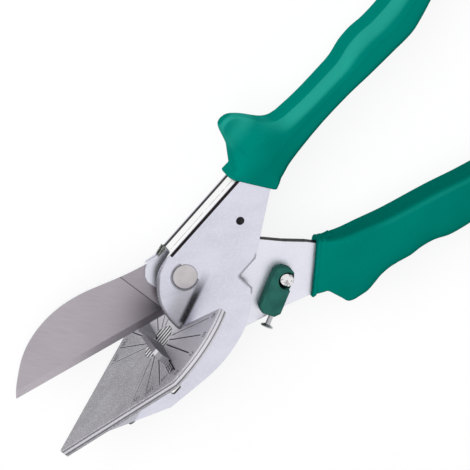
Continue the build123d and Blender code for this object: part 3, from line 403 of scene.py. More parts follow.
def frame_sheet():
    """The folded body: painted dark reflections on the folds, a painted white reflection on the spine, painted shadow
    lines at the nose and notch, painted shade on the pressed beak and in its crease, and a painted dark inside.
    """
    sizes = bpy.context.scene.shears_steel
    finish = Finish("frame_sheet")
    colour, cloud, grain = ground_sheet(finish, math.radians(38))
    x, y, z = finish.seen_from_pivot()
    top = (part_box("jaw_frame")[1][1] - PIVOT.y) / MM
    fold = 2.2
    half = 8.5
    crease_x, crease_y = 0.7, -8.3
    run_x, run_y = -0.963, -0.27
    hole_squared = 3.6
    # Painted reflections: dark lines on the bends of the folds.
    side = z.absolute() - (half - fold)
    rise = y - (top - fold)
    angle = finish.node("ShaderNodeMath", {"operation": "ARCTAN2"}, rise, side)
    bend_reflection = angle.band(0.2, 0.85, 0.05) * (side > 0.0) * (rise > 0.0) * (x > 2.8)
    spine = y.eased(top - 0.5, top - 0.2)
    # Painted reflections on the top of the spine: a dark line along its far side and a white strip beside it.
    far_fold_reflection = spine * z.band(-5.6, -2.6, 0.2)
    white = spine * z.eased(-2.9, -2.5)
    # A thin broken dark line along the top of the spine.
    spine_streak = spine * z.band(4.4, 5.0, 0.12) * finish.noise(3.0 * MM, 2.0).eased(0.38, 0.5)
    colour = finish.mix(white, colour, (0.97, 0.97, 0.97))
    colour = finish.mix(spine_streak * 0.75, colour, (0.2, 0.2, 0.21))

    # Painted shade on the pressed beak: a grey fall-off on its front face and a dark painted shadow in its crease,
    # both mottled by noise.
    along = (x - crease_x) * run_x + (y - crease_y) * run_y
    away = (x - crease_x) * run_y - (y - crease_y) * run_x
    front = z.eased(7.0, 8.3)
    crease_mottle = finish.noise(0.6 * MM, 3.0).eased(0.3, 0.7)
    crease_shadow = away.band(-1.7, 1.7, 0.9) * along.eased(-9.0, 7.0) * (1.0 - along.eased(17.0, 19.5))
    beak_shade = (1.0 - away.eased(4.5, 13.0)) * away.eased(-2.4, -0.8) * along.eased(-3.0, 6.0)
    colour = finish.mix(beak_shade * front * (crease_mottle * 0.3 + 0.7), colour, (0.46, 0.455, 0.495))
    colour = finish.mix(crease_shadow * front * (crease_mottle * 0.16 + 0.82), colour, (0.02, 0.019, 0.026))

    # Painted shadow: dark lines along the edges at the nose and at the notch, standing in for the shade in the gap
    # behind the plate.
    nose = (x < 3.0) * (y > -14.0) * (y < top - 0.3)
    notch = x.band(13.0, 28.0, 0.5) * y.band(-30.0, -16.0, 0.5)
    wide = finish.nearness(2.2 * MM)
    line = (wide.eased(0.004, 0.018) * (y < 8.5)).most(wide.eased(0.04, 0.1) * (y > 8.5)) * nose
    line = line.most(wide.eased(0.02, 0.06) * notch * 0.8)
    # Painted shade: the inner faces between the side plates, below the top, are made nearly black.
    inside_shade = (z.absolute() < 6.6) * (y < top - 1.8)
    colour = finish.mix(inside_shade * 0.85, colour, (0.02, 0.017, 0.016))
    # Painted shade: a small round patch in a hole is made nearly black.
    hole = ((x + PIVOT.x / MM) ** 2.0 + (y + PIVOT.y / MM) ** 2.0) < hole_squared
    # All the painted dark marks share one mask, which also takes their shine away.
    black = (bend_reflection + far_fold_reflection).most(line * 0.92).most(hole * 0.95).least(1.0)
    colour = finish.mix(black, colour, (0.012, 0.009, 0.009))
    normal = finish.bump(grain, 0.02 * MM, 0.2, finish.rounded(sizes.edge))
    return finish.done(Base_Color=colour, Metallic=1.0 - black, Roughness=cloud * 0.08 + 0.33, Normal=normal,
                       gloss=0.05)


def lever_sheet():
    """Lever plates: lifted overall as painted light, painted shadow on the cut edges at the neck and along the edges
    by the nose, and a dark mottled stop lug.
    """
    sizes = bpy.context.scene.shears_steel
    finish = Finish("lever_sheet")
    colour, cloud, grain = ground_sheet(finish, math.radians(20))
    # Painted light: the plates are lifted towards white, standing in for the reflection they get less of than the
    # frame.
    colour = finish.mix(0.35, colour, (0.95, 0.95, 1.0))
    x, y = finish.seen_from_pivot()[:2]
    # Painted shadow: the cut rims behind the neck are made black and lose their shine.
    cut = finish.rim() * x.eased(4.0, 8.0)
    colour = finish.mix(cut, colour, (0.006, 0.006, 0.008))
    # The stop lug is made dark, mottled by noise.
    lug = y.eased(12.9, 13.5) * x.eased(-2.0, -0.8)
    lug_mottle = finish.noise(0.8 * MM, 3.0).eased(0.35, 0.65)
    colour = finish.mix(lug * 0.95, colour, finish.mix(lug_mottle, (0.03, 0.035, 0.03), (0.2, 0.22, 0.18)))
    # Painted shadow: dark lines along the plates' edges near the nose.
    lobe_edge_shadow = finish.edges(0.3 * MM) * (x < 3.0)
    colour = finish.mix(lobe_edge_shadow * 0.7, colour, (0.05, 0.05, 0.06))
    normal = finish.bump(grain, 0.02 * MM, 0.2, finish.rounded(sizes.edge))
    return finish.done(Base_Color=colour, Metallic=1.0 - cut, Roughness=cloud * 0.08 + 0.33, Normal=normal,
                       gloss=0.05)


def blade_steel():
    """Ground blade faces: cross-ground grain, a painted dark reflection on the heel, ground edge faces painted
    lighter, a painted highlight on the back and a line where the grinding ends.
    """
    sizes = bpy.context.scene.shears_steel
    finish = Finish("blade_steel")
    heel_x, heel_y, heel_reach = -19.0, -3.0, 26.0
    tang_lean = 0.407
    x, y = finish.seen_from_pivot()[:2]
    along = x * math.cos(OPEN_ANGLE) - y * math.sin(OPEN_ANGLE)
    across = x * math.sin(OPEN_ANGLE) + y * math.cos(OPEN_ANGLE)
    grain = finish.noise(0.14 * MM, 2.0, (1.0, 70.0, 1.0), math.radians(-28))
    cloud = finish.noise(26 * MM, 1.0).eased(0.3, 0.7)
    corner = ((x - heel_x) ** 2.0 + (y - heel_y) ** 2.0) ** 0.5
    heel = (1.0 - corner / heel_reach).most(0.0) ** 2.0
    ground_end = along + across * tang_lean
    tang = ground_end.eased(-19.9, -19.6)
    # Painted light: faces that lean away from the blade's plane are made lighter.
    bevel = 1.0 - finish.facing("Z").absolute().eased(0.96, 0.995)
    colour = finish.mix(cloud, shade(sizes.blade, 0.98), shade(sizes.blade, 1.06))
    colour = finish.mix(bevel * 0.9, colour, shade(sizes.blade, 1.35))
    # Painted reflection: a dark patch that fades out round the heel, weaker past where the grinding ends.
    colour = finish.mix(heel * (1.0 - tang * 0.6) * 0.9, colour, (0.012, 0.01, 0.012))
    colour = finish.mix(tang * 0.25, colour, (0.27, 0.25, 0.27))
    colour = finish.mix(grain.eased(0.4, 0.65) * 0.25, colour, shade(sizes.blade, 0.6))
    step = ground_end.band(-20.2, -19.75, 0.12)
    colour = finish.mix(step * 0.85, colour, (0.06, 0.055, 0.06))
    # Painted highlight: the back of the blade is made nearly white.
    rim = finish.rim() * (across > -13.4)
    colour = finish.mix(finish.edges(0.22 * MM) * 0.45, colour, (0.08, 0.08, 0.09))
    colour = finish.mix(rim, colour, (0.93, 0.93, 0.95))
    normal = finish.bump(grain, 0.015 * MM, 0.2, finish.rounded(sizes.edge * 0.5))
    return finish.done(Base_Color=colour, Metallic=1.0, Roughness=cloud * 0.06 + 0.34, Normal=normal)


def anvil_steel():
    """Cast and blasted plate: coarse grain, bright specks, painted light and dark bands on the rim and a painted
    lighter reflection at the end beside the frame.
    """
    sizes = bpy.context.scene.shears_steel
    finish = Finish("anvil_steel")
    grit = finish.noise(0.5 * MM, 4.0)
    specks = finish.noise(0.7 * MM, 2.0).eased(0.58, 0.68)
    cloud = finish.noise(12 * MM, 2.0).eased(0.3, 0.7)
    depth = (ANVIL_FACE - finish.axis("Y")) / MM
    rim = finish.rim("Y")
    colour = finish.mix(cloud, shade(sizes.anvil, 0.9), shade(sizes.anvil, 1.1))
    colour = finish.mix(grit.eased(0.35, 0.6) * 0.6, colour, shade(sizes.anvil, 0.35))
    colour = finish.mix(specks * 0.5, colour, shade(sizes.anvil, 2.1))
    # Painted reflection: the face is made lighter towards the end beside the frame.
    frame_side_reflection = (finish.axis("X") / MM).eased(-78.0, -52.0)
    colour = finish.mix(frame_side_reflection * 0.6, colour, shade(sizes.anvil, 1.75))
    # Painted light and shade on the rim: a light band between two dark bands, by depth below the face.
    colour = finish.mix(rim * depth.band(1.2, 2.2, 0.15) * 0.7, colour, shade(sizes.anvil, 1.7))
    colour = finish.mix(rim * depth.band(0.6, 1.0, 0.12) * 0.8, colour, shade(sizes.anvil, 0.2))
    colour = finish.mix(rim * depth.band(2.4, 3.0, 0.15) * 0.8, colour, shade(sizes.anvil, 0.2))
    # A bright line along the edges at the top of the face.
    top_edge_line = finish.edges(sizes.edge * 1.6) * (depth < 1.0)
    colour = finish.mix(top_edge_line * 0.95, colour, (0.9, 0.9, 0.93))
    normal = finish.bump(grit, 0.14 * MM, 0.55, finish.rounded(sizes.edge * 1.6))
    return finish.done(Base_Color=colour, Metallic=0.9, Roughness=grit * 0.2 + 0.36, Normal=normal, gloss=0.1)


def fence_steel():
    """Machined fence: a scored hub, painted shade on the leaning side, a painted highlight where the ridge slopes
    down near its end, and marks on the pointer.
    """
    sizes = bpy.context.scene.shears_steel
    finish = Finish("fence_steel")
    score_pitch, mark_pitch = 3.0, 0.95
    x, y, z = ((finish.axis(letter) - start) / MM for letter, start in zip("XYZ", SCALE_CENTRE))
    grain = finish.noise(0.4 * MM, 3.0)
    colour = finish.mix(grain.eased(0.35, 0.65) * 0.5, shade(sizes.anvil, 0.9), shade(sizes.anvil, 0.5))
    score = ((z * (math.tau / score_pitch) + x * 0.25).sine() + grain * 1.2).eased(0.4, 0.8)
    hub = y < 1.0
    colour = finish.mix(hub * 0.95, colour, finish.mix(score, (0.02, 0.02, 0.025), (0.75, 0.75, 0.78)))
    # Painted shade: the side that faces along X is made dark.
    facing = finish.facing("X")
    colour = finish.mix(facing.eased(0.5, 0.8) * (y > 0.3) * 0.8, colour, (0.13, 0.13, 0.15))
    # Painted highlight: the slope near the end of the ridge is made light.
    slope = z.absolute().band(21.4, 23.4, 0.2) * (y > 4.6) * (1.0 - facing.absolute().eased(0.4, 0.7))
    colour = finish.mix(slope * 0.9, colour, (0.82, 0.82, 0.85))
    mark = hub * (z.absolute() > 28.3) * ((x * (math.tau / mark_pitch) + 0.6).sine() > 0.1)
    colour = finish.mix(mark * 0.85, colour, (0.02, 0.02, 0.025))
    normal = finish.bump(grain, 0.06 * MM, 0.4, finish.rounded(sizes.edge))
    return finish.done(Base_Color=colour, Metallic=0.9, Roughness=grain * 0.15 + 0.36, Normal=normal, gloss=0.1)


def turned_steel(name, centre, colour, edge_shade=1.35):
    """Turned steel: fine rings round an axis along Z."""
    sizes = bpy.context.scene.shears_steel
    finish = Finish(name)
    spot = finish.node("ShaderNodeVectorMath", {"operation": "MULTIPLY"}, finish.place, (1.0, 1.0, 0.0))
    away = finish.node("ShaderNodeVectorMath", {"operation": "DISTANCE"}, spot, (centre[0], centre[1], 0.0),
                       output="Value")
    ring_pitch = 0.22 * MM
    rings = (away * (math.tau / ring_pitch)).sine()
    cloud = finish.noise(4 * MM, 2.0).eased(0.3, 0.7)
    tone = finish.mix(cloud, shade(colour, 0.93), shade(colour, 1.07))
    tone = finish.mix((rings * 0.5 + 0.5) * 0.12, tone, shade(colour, 0.6))
    tone = finish.mix(finish.edges(sizes.edge * 1.6) * 0.8, tone, shade(colour, edge_shade))
    normal = finish.bump(rings, 0.01 * MM, 0.3, finish.rounded(sizes.edge))
    return finish.done(Base_Color=tone, Metallic=1.0, Roughness=cloud * 0.08 + 0.28, Normal=normal)


def plain_steel(name, colour, roughness, metallic=1.0):
    """Plain steel with a fine grain and brighter edges."""
    sizes = bpy.context.scene.shears_steel
    finish = Finish(name)
    grain = finish.noise(0.3 * MM, 3.0)
    cloud = finish.noise(6 * MM, 2.0).eased(0.3, 0.7)
    tone = finish.mix(cloud, shade(colour, 0.88), shade(colour, 1.12))
    tone = finish.mix(grain.eased(0.4, 0.65) * 0.3, tone, shade(colour, 0.6))
    tone = finish.mix(finish.edges(sizes.edge) * 0.6, tone, shade(colour, 1.7))
    normal = finish.bump(grain, 0.03 * MM, 0.35, finish.rounded(sizes.edge))
    return finish.done(Base_Color=tone, Metallic=metallic, Roughness=cloud * 0.1 + roughness, Normal=normal,
                       gloss=0.1)


def grip_green(name, top, ridge):
    """Glossy moulded plastic: faint flow marks, top faces painted light on the upper grip and dark on the lower by a
    given factor, painted shade underneath, a painted highlight along the ridge and a soft orange-peel skin.
    """
    sizes = bpy.context.scene.shears_grips
    finish = Finish(name)
    flow = finish.noise(22 * MM, 2.0, (2.2, 1.0, 1.0)).eased(0.3, 0.7)
    skin = finish.noise(1.6 * MM, 2.0)
    dust = finish.noise(0.5 * MM, 3.0).eased(0.66, 0.74)
    tone = finish.mix(flow, shade(sizes.colour, 0.92), shade(sizes.colour, 1.08))
    tone = finish.mix(dust * 0.04, tone, (0.1, 0.4, 0.36))
    up = finish.facing("Y")
    x, y = finish.seen_from_pivot()[:2]
    back = x.eased(66.0, 86.0).most(y.eased(20.0, 27.0))
    # Painted light and shade: the top faces are scaled by the factor top, lighter above 1 and darker below it, and
    # the faces below are made darker.
    tone = finish.mix(up.eased(0.3, 1.0) * 0.6, tone, shade(sizes.colour, top))
    tone = finish.mix((0.0 - up).eased(0.2, 0.9) * 0.4, tone, shade(sizes.colour, 0.45))
    # Painted highlight: a lighter band along the ridge, towards the back and on the horn.
    tone = finish.mix(up.band(ridge[0], ridge[1], 0.12) * ridge[2] * back, tone, (0.03, 0.36, 0.29))
    normal = finish.bump(skin, 0.05 * MM, 0.18)
    material = finish.done(Base_Color=tone, Metallic=0.16, Roughness=flow * 0.05 + 0.24, Normal=normal, gloss=0.0)
    finish.shader.inputs["Specular Tint"].default_value = (0.1, 1.0, 0.9, 1.0)
    return material


def latch_green():
    """Dark green enamel, lighter at the edges, with painted black shade down in the screw's recess."""
    sizes = bpy.context.scene.shears_steel
    finish = Finish("latch_green")
    skin = finish.noise(1.2 * MM, 2.0)
    cloud = finish.noise(5 * MM, 2.0).eased(0.3, 0.7)
    tone = finish.mix(cloud, (0.018, 0.085, 0.071), (0.024, 0.115, 0.095))
    tone = finish.mix(finish.edges(sizes.edge * 1.4) * 0.3, tone, (0.09, 0.24, 0.21))
    recess_squared, recess_lip = 17.5, 0.25
    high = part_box("latch_lever")[1][2] / MM
    x, y = (finish.axis("X") - LATCH_SCREW.x) / MM, (finish.axis("Y") - LATCH_SCREW.y) / MM
    # Painted shade: inside the screw's recess, below its lip, the enamel is made nearly black.
    recess_shadow = (x**2.0 + y**2.0 < recess_squared) * (finish.axis("Z") < (high - recess_lip) * MM)
    tone = finish.mix(recess_shadow * 0.95, tone, (0.002, 0.004, 0.004))
    normal = finish.bump(skin, 0.05 * MM, 0.2, finish.rounded(sizes.edge * 1.4))
    return finish.done(Base_Color=tone, Metallic=0.12, Roughness=cloud * 0.08 + 0.34, Normal=normal, gloss=0.0)


def scale_ink(name, low, high):
    """Filling of the lines and numbers, a little uneven."""
    finish = Finish(name)
    patch = finish.noise(0.9 * MM, 2.0).eased(0.3, 0.75)
    tone = finish.mix(patch, (low, low, low * 1.1), (high, high, high * 1.1))
    return finish.done(Base_Color=tone, Roughness=patch * 0.2 + 0.55, gloss=0.02)


def bolt_chrome():
    """Bright plating with polish marks, and painted dark reflections in patches and where the dome turns away."""
    finish = Finish("chrome_screw")
    marks = finish.noise(0.3 * MM, 2.0, (8.0, 1.0, 1.0))
    lean = finish.facing("Z")
    patch = finish.noise(1.5 * MM, 1.0).eased(0.52, 0.6)
    tone = finish.mix(marks.eased(0.4, 0.7) * 0.2, (0.8, 0.78, 0.79), (0.55, 0.53, 0.56))
    # Painted reflections: dark patches, and darkness where the dome turns away from Z.
    tone = finish.mix(patch * 0.6, tone, (0.22, 0.2, 0.21))
    tone = finish.mix((1.0 - lean.eased(0.35, 0.8)) * 0.8, tone, (0.03, 0.03, 0.035))
    normal = finish.bump(marks, 0.01 * MM, 0.2, finish.rounded(0.3 * MM))
    return finish.done(Base_Color=tone, Metallic=1.0, Roughness=marks * 0.06 + 0.12, Normal=normal)


def wear_finish(node, material):
    """Puts a material on every slot of a packed piece."""
    piece = frame["nodes"][node]
    if not piece.data.materials:
        piece.data.materials.append(material)
    for slot in piece.material_slots:
        slot.material = material


def mesh_from(name, points, faces, material, flat=False):
    """A mesh object at the origin, with its normals facing out."""
    mesh = bpy.data.meshes.new(name)
    mesh.from_pydata([tuple(point) for point in points], [], faces)
    work = bmesh.new()
    work.from_mesh(mesh)
    bmesh.ops.recalc_face_normals(work, faces=work.faces)
    work.to_mesh(mesh)
    work.free()
    mesh.materials.append(material)
    mesh.polygons.foreach_set("use_smooth", [not flat] * len(mesh.polygons))
    piece = bpy.data.objects.new(name, mesh)
    bpy.context.scene.collection.objects.link(piece)
    return piece


def ring_faces(rows, around):
    """The faces that join rings of points, each ring to the next."""
    faces = []
    for r in range(rows - 1):
        for k in range(around):
            n = (k + 1) % around
            faces.append((r * around + k, r * around + n, (r + 1) * around + n, (r + 1) * around + k))
    return faces


def half_point(shares, share):
    """A point of a half section at a share of the way from its top to its floor."""
    place = share * (len(shares) - 1)
    steps = list(range(len(shares)))
    return (ramp_value(list(zip(steps, (point[0] for point in shares))), place),
            ramp_value(list(zip(steps, (point[1] for point in shares))), place))


def grip_section(x, form, grow=0.0, inner=None):
    """One ring of a grip. Its plane leans at the mouth and stands square further back."""
    sizes = bpy.context.scene.shears_grips
    mouth_x, mouth_y, mouth_slope, mouth_fade = form["mouth"]
    side = form["horn_side"]
    slope = mouth_slope * (1.0 - smooth(x, mouth_x, mouth_x + mouth_fade))

    def crossing(line):
        """The height of a profile where this leaning ring crosses it."""
        height = mouth_y
        for _ in range(12):
            height = ramp_value(line, x + slope * (height - mouth_y))
        return height

    top = crossing(form["top"]) + grow
    floor = crossing(form["floor"]) - grow
    half = ramp_value(form["side"], x) + grow
    body = smooth(x, mouth_x + form["lip"][0], mouth_x + form["lip"][1])
    if inner:
        top, floor, half = inner[0], floor + inner[1], inner[2]
        body = 0.0
    middle = (top + floor) / 2
    reach = (top - floor) / 2
    ring = []
    for k in range(sizes.ring_points):
        turn = 2 * k / sizes.ring_points
        share = turn if turn <= 1 else 2 - turn
        mouth_point = half_point(MOUTH_SHARES, share)
        body_point = half_point(form["section"], share)
        high = mouth_point[0] + (body_point[0] - mouth_point[0]) * body
        wide = mouth_point[1] + (body_point[1] - mouth_point[1]) * body
        y = middle + reach * high
        z = half * wide * (1 if turn <= 1 else -1)
        base_x = x + slope * (y - mouth_y)
        lift = smooth(high * side, -0.15, 1.0) if not inner else 0.0
        horn = max(0.0, ramp_value(form["horn"], base_x)) * lift
        y += side * horn
        z *= 1.0 - sizes.horn_taper * lift * smooth(horn, 0.0, 15.0)
        ring.append(form["place"](base_x, y, z))
    return ring


def grip_piece(name, form, material):
    """A grip as one closed skin: mouth, wall end, bands, body and rounded tail."""
    sizes = bpy.context.scene.shears_grips
    mouth_x = form["mouth"][0]
    end = form["end"]
    rings = [grip_section(mouth_x + sizes.mouth_depth / MM, form, inner=form["inner"]),
             grip_section(mouth_x, form, inner=form["inner"])]
    rings += [grip_section(mouth_x + step, form, grow) for step, grow in form["bands"]]
    start = mouth_x + form["bands"][-1][0]
    count = int((end - start) * MM / sizes.ring_step)
    rings += [grip_section(start + (end - start) * k / count, form) for k in range(1, count + 1)]
    rings += [grip_section(end + step, form, grow) for step, grow in form["tail"]]
    points = [point for ring in rings for point in ring]
    around = sizes.ring_points
    faces = ring_faces(len(rings), around)
    faces.append(tuple(range(around)))
    faces.append(tuple((len(rings) - 1) * around + k for k in range(around)))
    return mesh_from(name, points, faces, material)


class SHEARS_OT_steel_body(bpy.types.Operator):
    """Finish the folded body, lever plates, pins and washers"""
    bl_idname = "shears.steel_body"
    bl_label = "Steel body"

    def execute(self, context):
        sizes = context.scene.shears_steel
        wear_finish("jaw_frame", frame_sheet())
        plates = lever_sheet()
        for node in ("front_lever_plate", "rear_lever_plate"):
            wear_finish(node, plates)
        # A low edge shade paints the edges of the pivot pieces dark, a painted ring of shade round the head.
        pivot = turned_steel("pivot_steel", PIVOT, shade(sizes.pin, 0.84), 0.15)
        for node in ("pivot_pin", "front_washer", "rear_washer", "pivot_bush"):
            wear_finish(node, pivot)
        rivet = plain_steel("rivet_steel", tuple(sizes.pin), 0.3)
        for node in ("lever_rivets", "tail_rivets", "blade_screws", "spring_post"):
            wear_finish(node, rivet)
        dark = plain_steel("oiled_steel", tuple(sizes.dark), 0.42)
        # Near black and barely metallic: painted shade for the middle layer of the lever, seen in the gap between its
        # plates.
        wear_finish("lever_core", plain_steel("core_steel", (0.012, 0.012, 0.014), 0.5, 0.2))
        for node in ("pivot_ring", "return_spring", "tail_spacers", "anvil_screws", "fence_washer",
                     "fence_nut", "latch_washer"):
            wear_finish(node, dark)
        # Dark brown: a bronze tint, darkened as painted shade where the carrier shows in the anvil's window.
        wear_finish("anvil_carrier", plain_steel("carrier_steel", (0.075, 0.055, 0.04), 0.5))
        return {"FINISHED"}


class SHEARS_OT_blade(bpy.types.Operator):
    """Finish the blade"""
    bl_idname = "shears.blade"
    bl_label = "Blade"

    def execute(self, context):
        wear_finish("blade", blade_steel())
        return {"FINISHED"}


class SHEARS_OT_anvil(bpy.types.Operator):
    """Finish the anvil and lay the ink and numbers of its scale"""
    bl_idname = "shears.anvil"
    bl_label = "Anvil and scale"

    def execute(self, context):
        wear_finish("anvil", anvil_steel())
        self.lines(context.scene.shears_scale, scale_ink("line_ink", 0.015, 0.06))
        self.numbers(context.scene.shears_scale, scale_ink("number_ink", 0.05, 0.14))
        return {"FINISHED"}

    def count(self, sizes):
        """How many angles are marked on each side of the blade."""
        return int((180 - 2 * sizes.first_angle) / sizes.step_angle) + 1

    def lines(self, sizes, ink):
        """Ink bars that fill the engraved lines, one instance for each line."""
        tree = bpy.data.node_groups.new("scale_lines", "GeometryNodeTree")
        inputs = {"Length": sizes.line_outer - sizes.line_inner, "Width": sizes.line_width, "Start": sizes.line_inner}
        for label in inputs:
            tree.interface.new_socket(label, in_out="INPUT", socket_type="NodeSocketFloat")
        tree.interface.new_socket("Geometry", in_out="OUTPUT", socket_type="NodeSocketGeometry")
        nodes, links = tree.nodes, tree.links
        given = nodes.new("NodeGroupInput")
        result = nodes.new("NodeGroupOutput")
        count = self.count(sizes)
        points = nodes.new("GeometryNodePoints")
        points.inputs["Count"].default_value = 2 * count
        index = nodes.new("GeometryNodeInputIndex")

        def maths(operation, *values):
            node = nodes.new("ShaderNodeMath")
            node.operation = operation
            for socket, value in zip(node.inputs, values):
                if isinstance(value, bpy.types.NodeSocket):
                    links.new(value, socket)
                else:
                    socket.default_value = value
            return node.outputs[0]

        side = maths("GREATER_THAN", index.outputs[0], count - 0.5)
        place = maths("MODULO", index.outputs[0], count)
        angle = maths("ADD", maths("MULTIPLY", place, math.radians(sizes.step_angle)),
                      math.radians(sizes.first_angle))
        signed = maths("MULTIPLY", angle, maths("SUBTRACT", 1.0, maths("MULTIPLY", side, 2.0)))
        turn = nodes.new("ShaderNodeCombineXYZ")
        links.new(maths("MULTIPLY", signed, -1.0), turn.inputs["Y"])
        bar = nodes.new("GeometryNodeMeshCube")
        size = nodes.new("ShaderNodeCombineXYZ")
        links.new(given.outputs["Length"], size.inputs["X"])
        links.new(given.outputs["Width"], size.inputs["Z"])
        thickness = 0.1 * MM
        size.inputs["Y"].default_value = thickness
        links.new(size.outputs[0], bar.inputs["Size"])
        shift = nodes.new("GeometryNodeTransform")
        offset = nodes.new("ShaderNodeCombineXYZ")
        links.new(maths("ADD", given.outputs["Start"], maths("MULTIPLY", given.outputs["Length"], 0.5)),
                  offset.inputs["X"])
        links.new(bar.outputs["Mesh"], shift.inputs["Geometry"])
        links.new(offset.outputs[0], shift.inputs["Translation"])
        spread = nodes.new("GeometryNodeInstanceOnPoints")
        links.new(points.outputs[0], spread.inputs["Points"])
        links.new(shift.outputs[0], spread.inputs["Instance"])
        links.new(turn.outputs[0], spread.inputs["Rotation"])
        real = nodes.new("GeometryNodeRealizeInstances")
        links.new(spread.outputs[0], real.inputs[0])
        paint = nodes.new("GeometryNodeSetMaterial")
        paint.inputs["Material"].default_value = ink
        links.new(real.outputs[0], paint.inputs["Geometry"])
        links.new(paint.outputs[0], result.inputs[0])
        holder = bpy.data.objects.new("scale_lines", bpy.data.meshes.new("scale_lines"))
        bpy.context.scene.collection.objects.link(holder)
        made = holder.modifiers.new("lines", "NODES")
        made.node_group = tree
        for socket in tree.interface.items_tree:
            if socket.in_out == "INPUT":
                made[socket.identifier] = inputs[socket.name]
        bpy.context.view_layer.update()
        mesh = bpy.data.meshes.new_from_object(holder.evaluated_get(bpy.context.evaluated_depsgraph_get()))
        holder.modifiers.clear()
        mesh.transform(Matrix.Translation(SCALE_CENTRE - Vector((0, sizes.line_sink + thickness / 2, 0))))
        holder.data = mesh
        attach(holder, "upper_body")

    def numbers(self, sizes, ink):
        """Numbers of the angles along the rim on both sides of the cut line."""
        meshes = []
        count = self.count(sizes)
        for side in (1, -1):
            for k in range(count):
                degrees = sizes.first_angle + k * sizes.step_angle
                text = bpy.data.curves.new("figure", "FONT")
                text.body = str(round(degrees))
                text.size = sizes.number_height
                text.align_x = "CENTER"
                text.align_y = "CENTER"
                text.extrude = sizes.ink_height
                text.resolution_u = 3
                holder = bpy.data.objects.new("figure", text)
                bpy.context.scene.collection.objects.link(holder)
                bpy.context.view_layer.update()
                mesh = bpy.data.meshes.new_from_object(holder.evaluated_get(bpy.context.evaluated_depsgraph_get()))
                bpy.data.objects.remove(holder)
                beyond = degrees > 90
                angle = math.radians(degrees - (sizes.tip_shift if beyond else 0.0)) * side
                lay = Matrix.Rotation(math.radians(-90), 4, "X")
                upright = Matrix.Rotation(-angle - math.radians(90) * side, 4, "Y")
                radius = sizes.tip_radius if beyond else sizes.number_radius
                spot = Vector((math.cos(angle), 0, math.sin(angle))) * radius
                mesh.transform(Matrix.Translation(SCALE_CENTRE + spot) @ upright @ lay)
                meshes.append(mesh)
        work = bmesh.new()
        for mesh in meshes:
            work.from_mesh(mesh)
            bpy.data.meshes.remove(mesh)
        joined = bpy.data.meshes.new("scale_numbers")
        work.to_mesh(joined)
        work.free()
        joined.materials.append(ink)
        piece = bpy.data.objects.new("scale_numbers", joined)
        bpy.context.scene.collection.objects.link(piece)
        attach(piece, "upper_body")


class SHEARS_OT_fence(bpy.types.Operator):
    """Finish the swinging fence"""
    bl_idname = "shears.fence"
    bl_label = "Fence"

    def execute(self, context):
        wear_finish("angle_fence", fence_steel())
        return {"FINISHED"}


class SHEARS_OT_latch(bpy.types.Operator):
    """Finish the latch, its stud and its screw"""
    bl_idname = "shears.latch"
    bl_label = "Latch"

    def execute(self, context):
        wear_finish("latch_lever", latch_green())
        wear_finish("latch_stud", turned_steel("stud_steel", LATCH_SCREW, (0.45, 0.46, 0.47)))
        self.screw(bolt_chrome())
        return {"FINISHED"}

    def screw(self, chrome):
        """The shoulder screw with a low domed head down in its recess."""
        low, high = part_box("latch_screw")
        stem = 2.0
        head = [(stem, 0.0), (3.4, 0.0), (3.4, 0.5), (3.2, 0.75), (2.4, 1.05), (1.2, 1.25)]
        dome = 1.3
        seat = high[2] - 2.1 * MM
        profile = [(stem * MM, low[2])] + [(radius * MM, seat + rise * MM) for radius, rise in head]
        around = 40
        points = []
        for radius, height in profile:
            for k in range(around):
                turn = math.tau * k / around
                points.append((LATCH_SCREW.x + radius * math.cos(turn),
                               LATCH_SCREW.y + radius * math.sin(turn), height))
        rows = len(profile)
        faces = ring_faces(rows, around)
        faces.append(tuple(range(around)))
        points.append((LATCH_SCREW.x, LATCH_SCREW.y, seat + dome * MM))
        faces += [((rows - 1) * around + k, (rows - 1) * around + (k + 1) % around, len(points) - 1)
                  for k in range(around)]
        screw = mesh_from("latch_shoulder_screw", points, faces, chrome)
        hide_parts("latch_screw")
        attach(screw, "lever")


class SHEARS_OT_grips(bpy.types.Operator):
    """Mould the upper and lower grips over the steel tails"""
    bl_idname = "shears.grips"
    bl_label = "Grips"

    def execute(self, context):
        # The upper grip's top faces get painted light and a painted highlight along the ridge.
        green = grip_green("upper_green", 1.2, (0.34, 0.74, 0.45))
        wall = context.scene.shears_grips.wall / MM
        upper = grip_piece("upper_grip_moulding", {
            "mouth": (50.6, 4.5, -0.5, 16.0), "lip": (1.6, 8.0), "end": GRIP_END, "place": from_upper,
            "bands": UPPER_BANDS, "tail": GRIP_TAIL, "top": UPPER_TOP, "floor": UPPER_FLOOR,
            "side": UPPER_SIDE, "section": UPPER_SHARES, "horn": UPPER_HORN, "horn_side": 1,
            "inner": (12.35, wall, 8.62)}, green)
        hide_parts("upper_grip")
        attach(upper, "upper_body")
        # The lower grip's top faces get painted shade and a weaker painted highlight along the ridge.
        green = grip_green("lower_green", 0.5, (0.28, 0.5, 0.16))
        lower = grip_piece("lower_grip_moulding", {
            "mouth": (53.2, -28.7, 0.612, 18.0), "lip": (6.0, 22.0), "end": GRIP_END, "place": from_lever,
            "bands": LOWER_BANDS, "tail": GRIP_TAIL, "top": LOWER_TOP, "floor": LOWER_FLOOR,
            "side": LOWER_SIDE, "section": LOWER_SHARES, "horn": LOWER_HORN, "horn_side": -1,
            "inner": (-18.6, wall, 3.6)}, green)
        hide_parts("lower_grip")
        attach(lower, "lever")
        return {"FINISHED"}


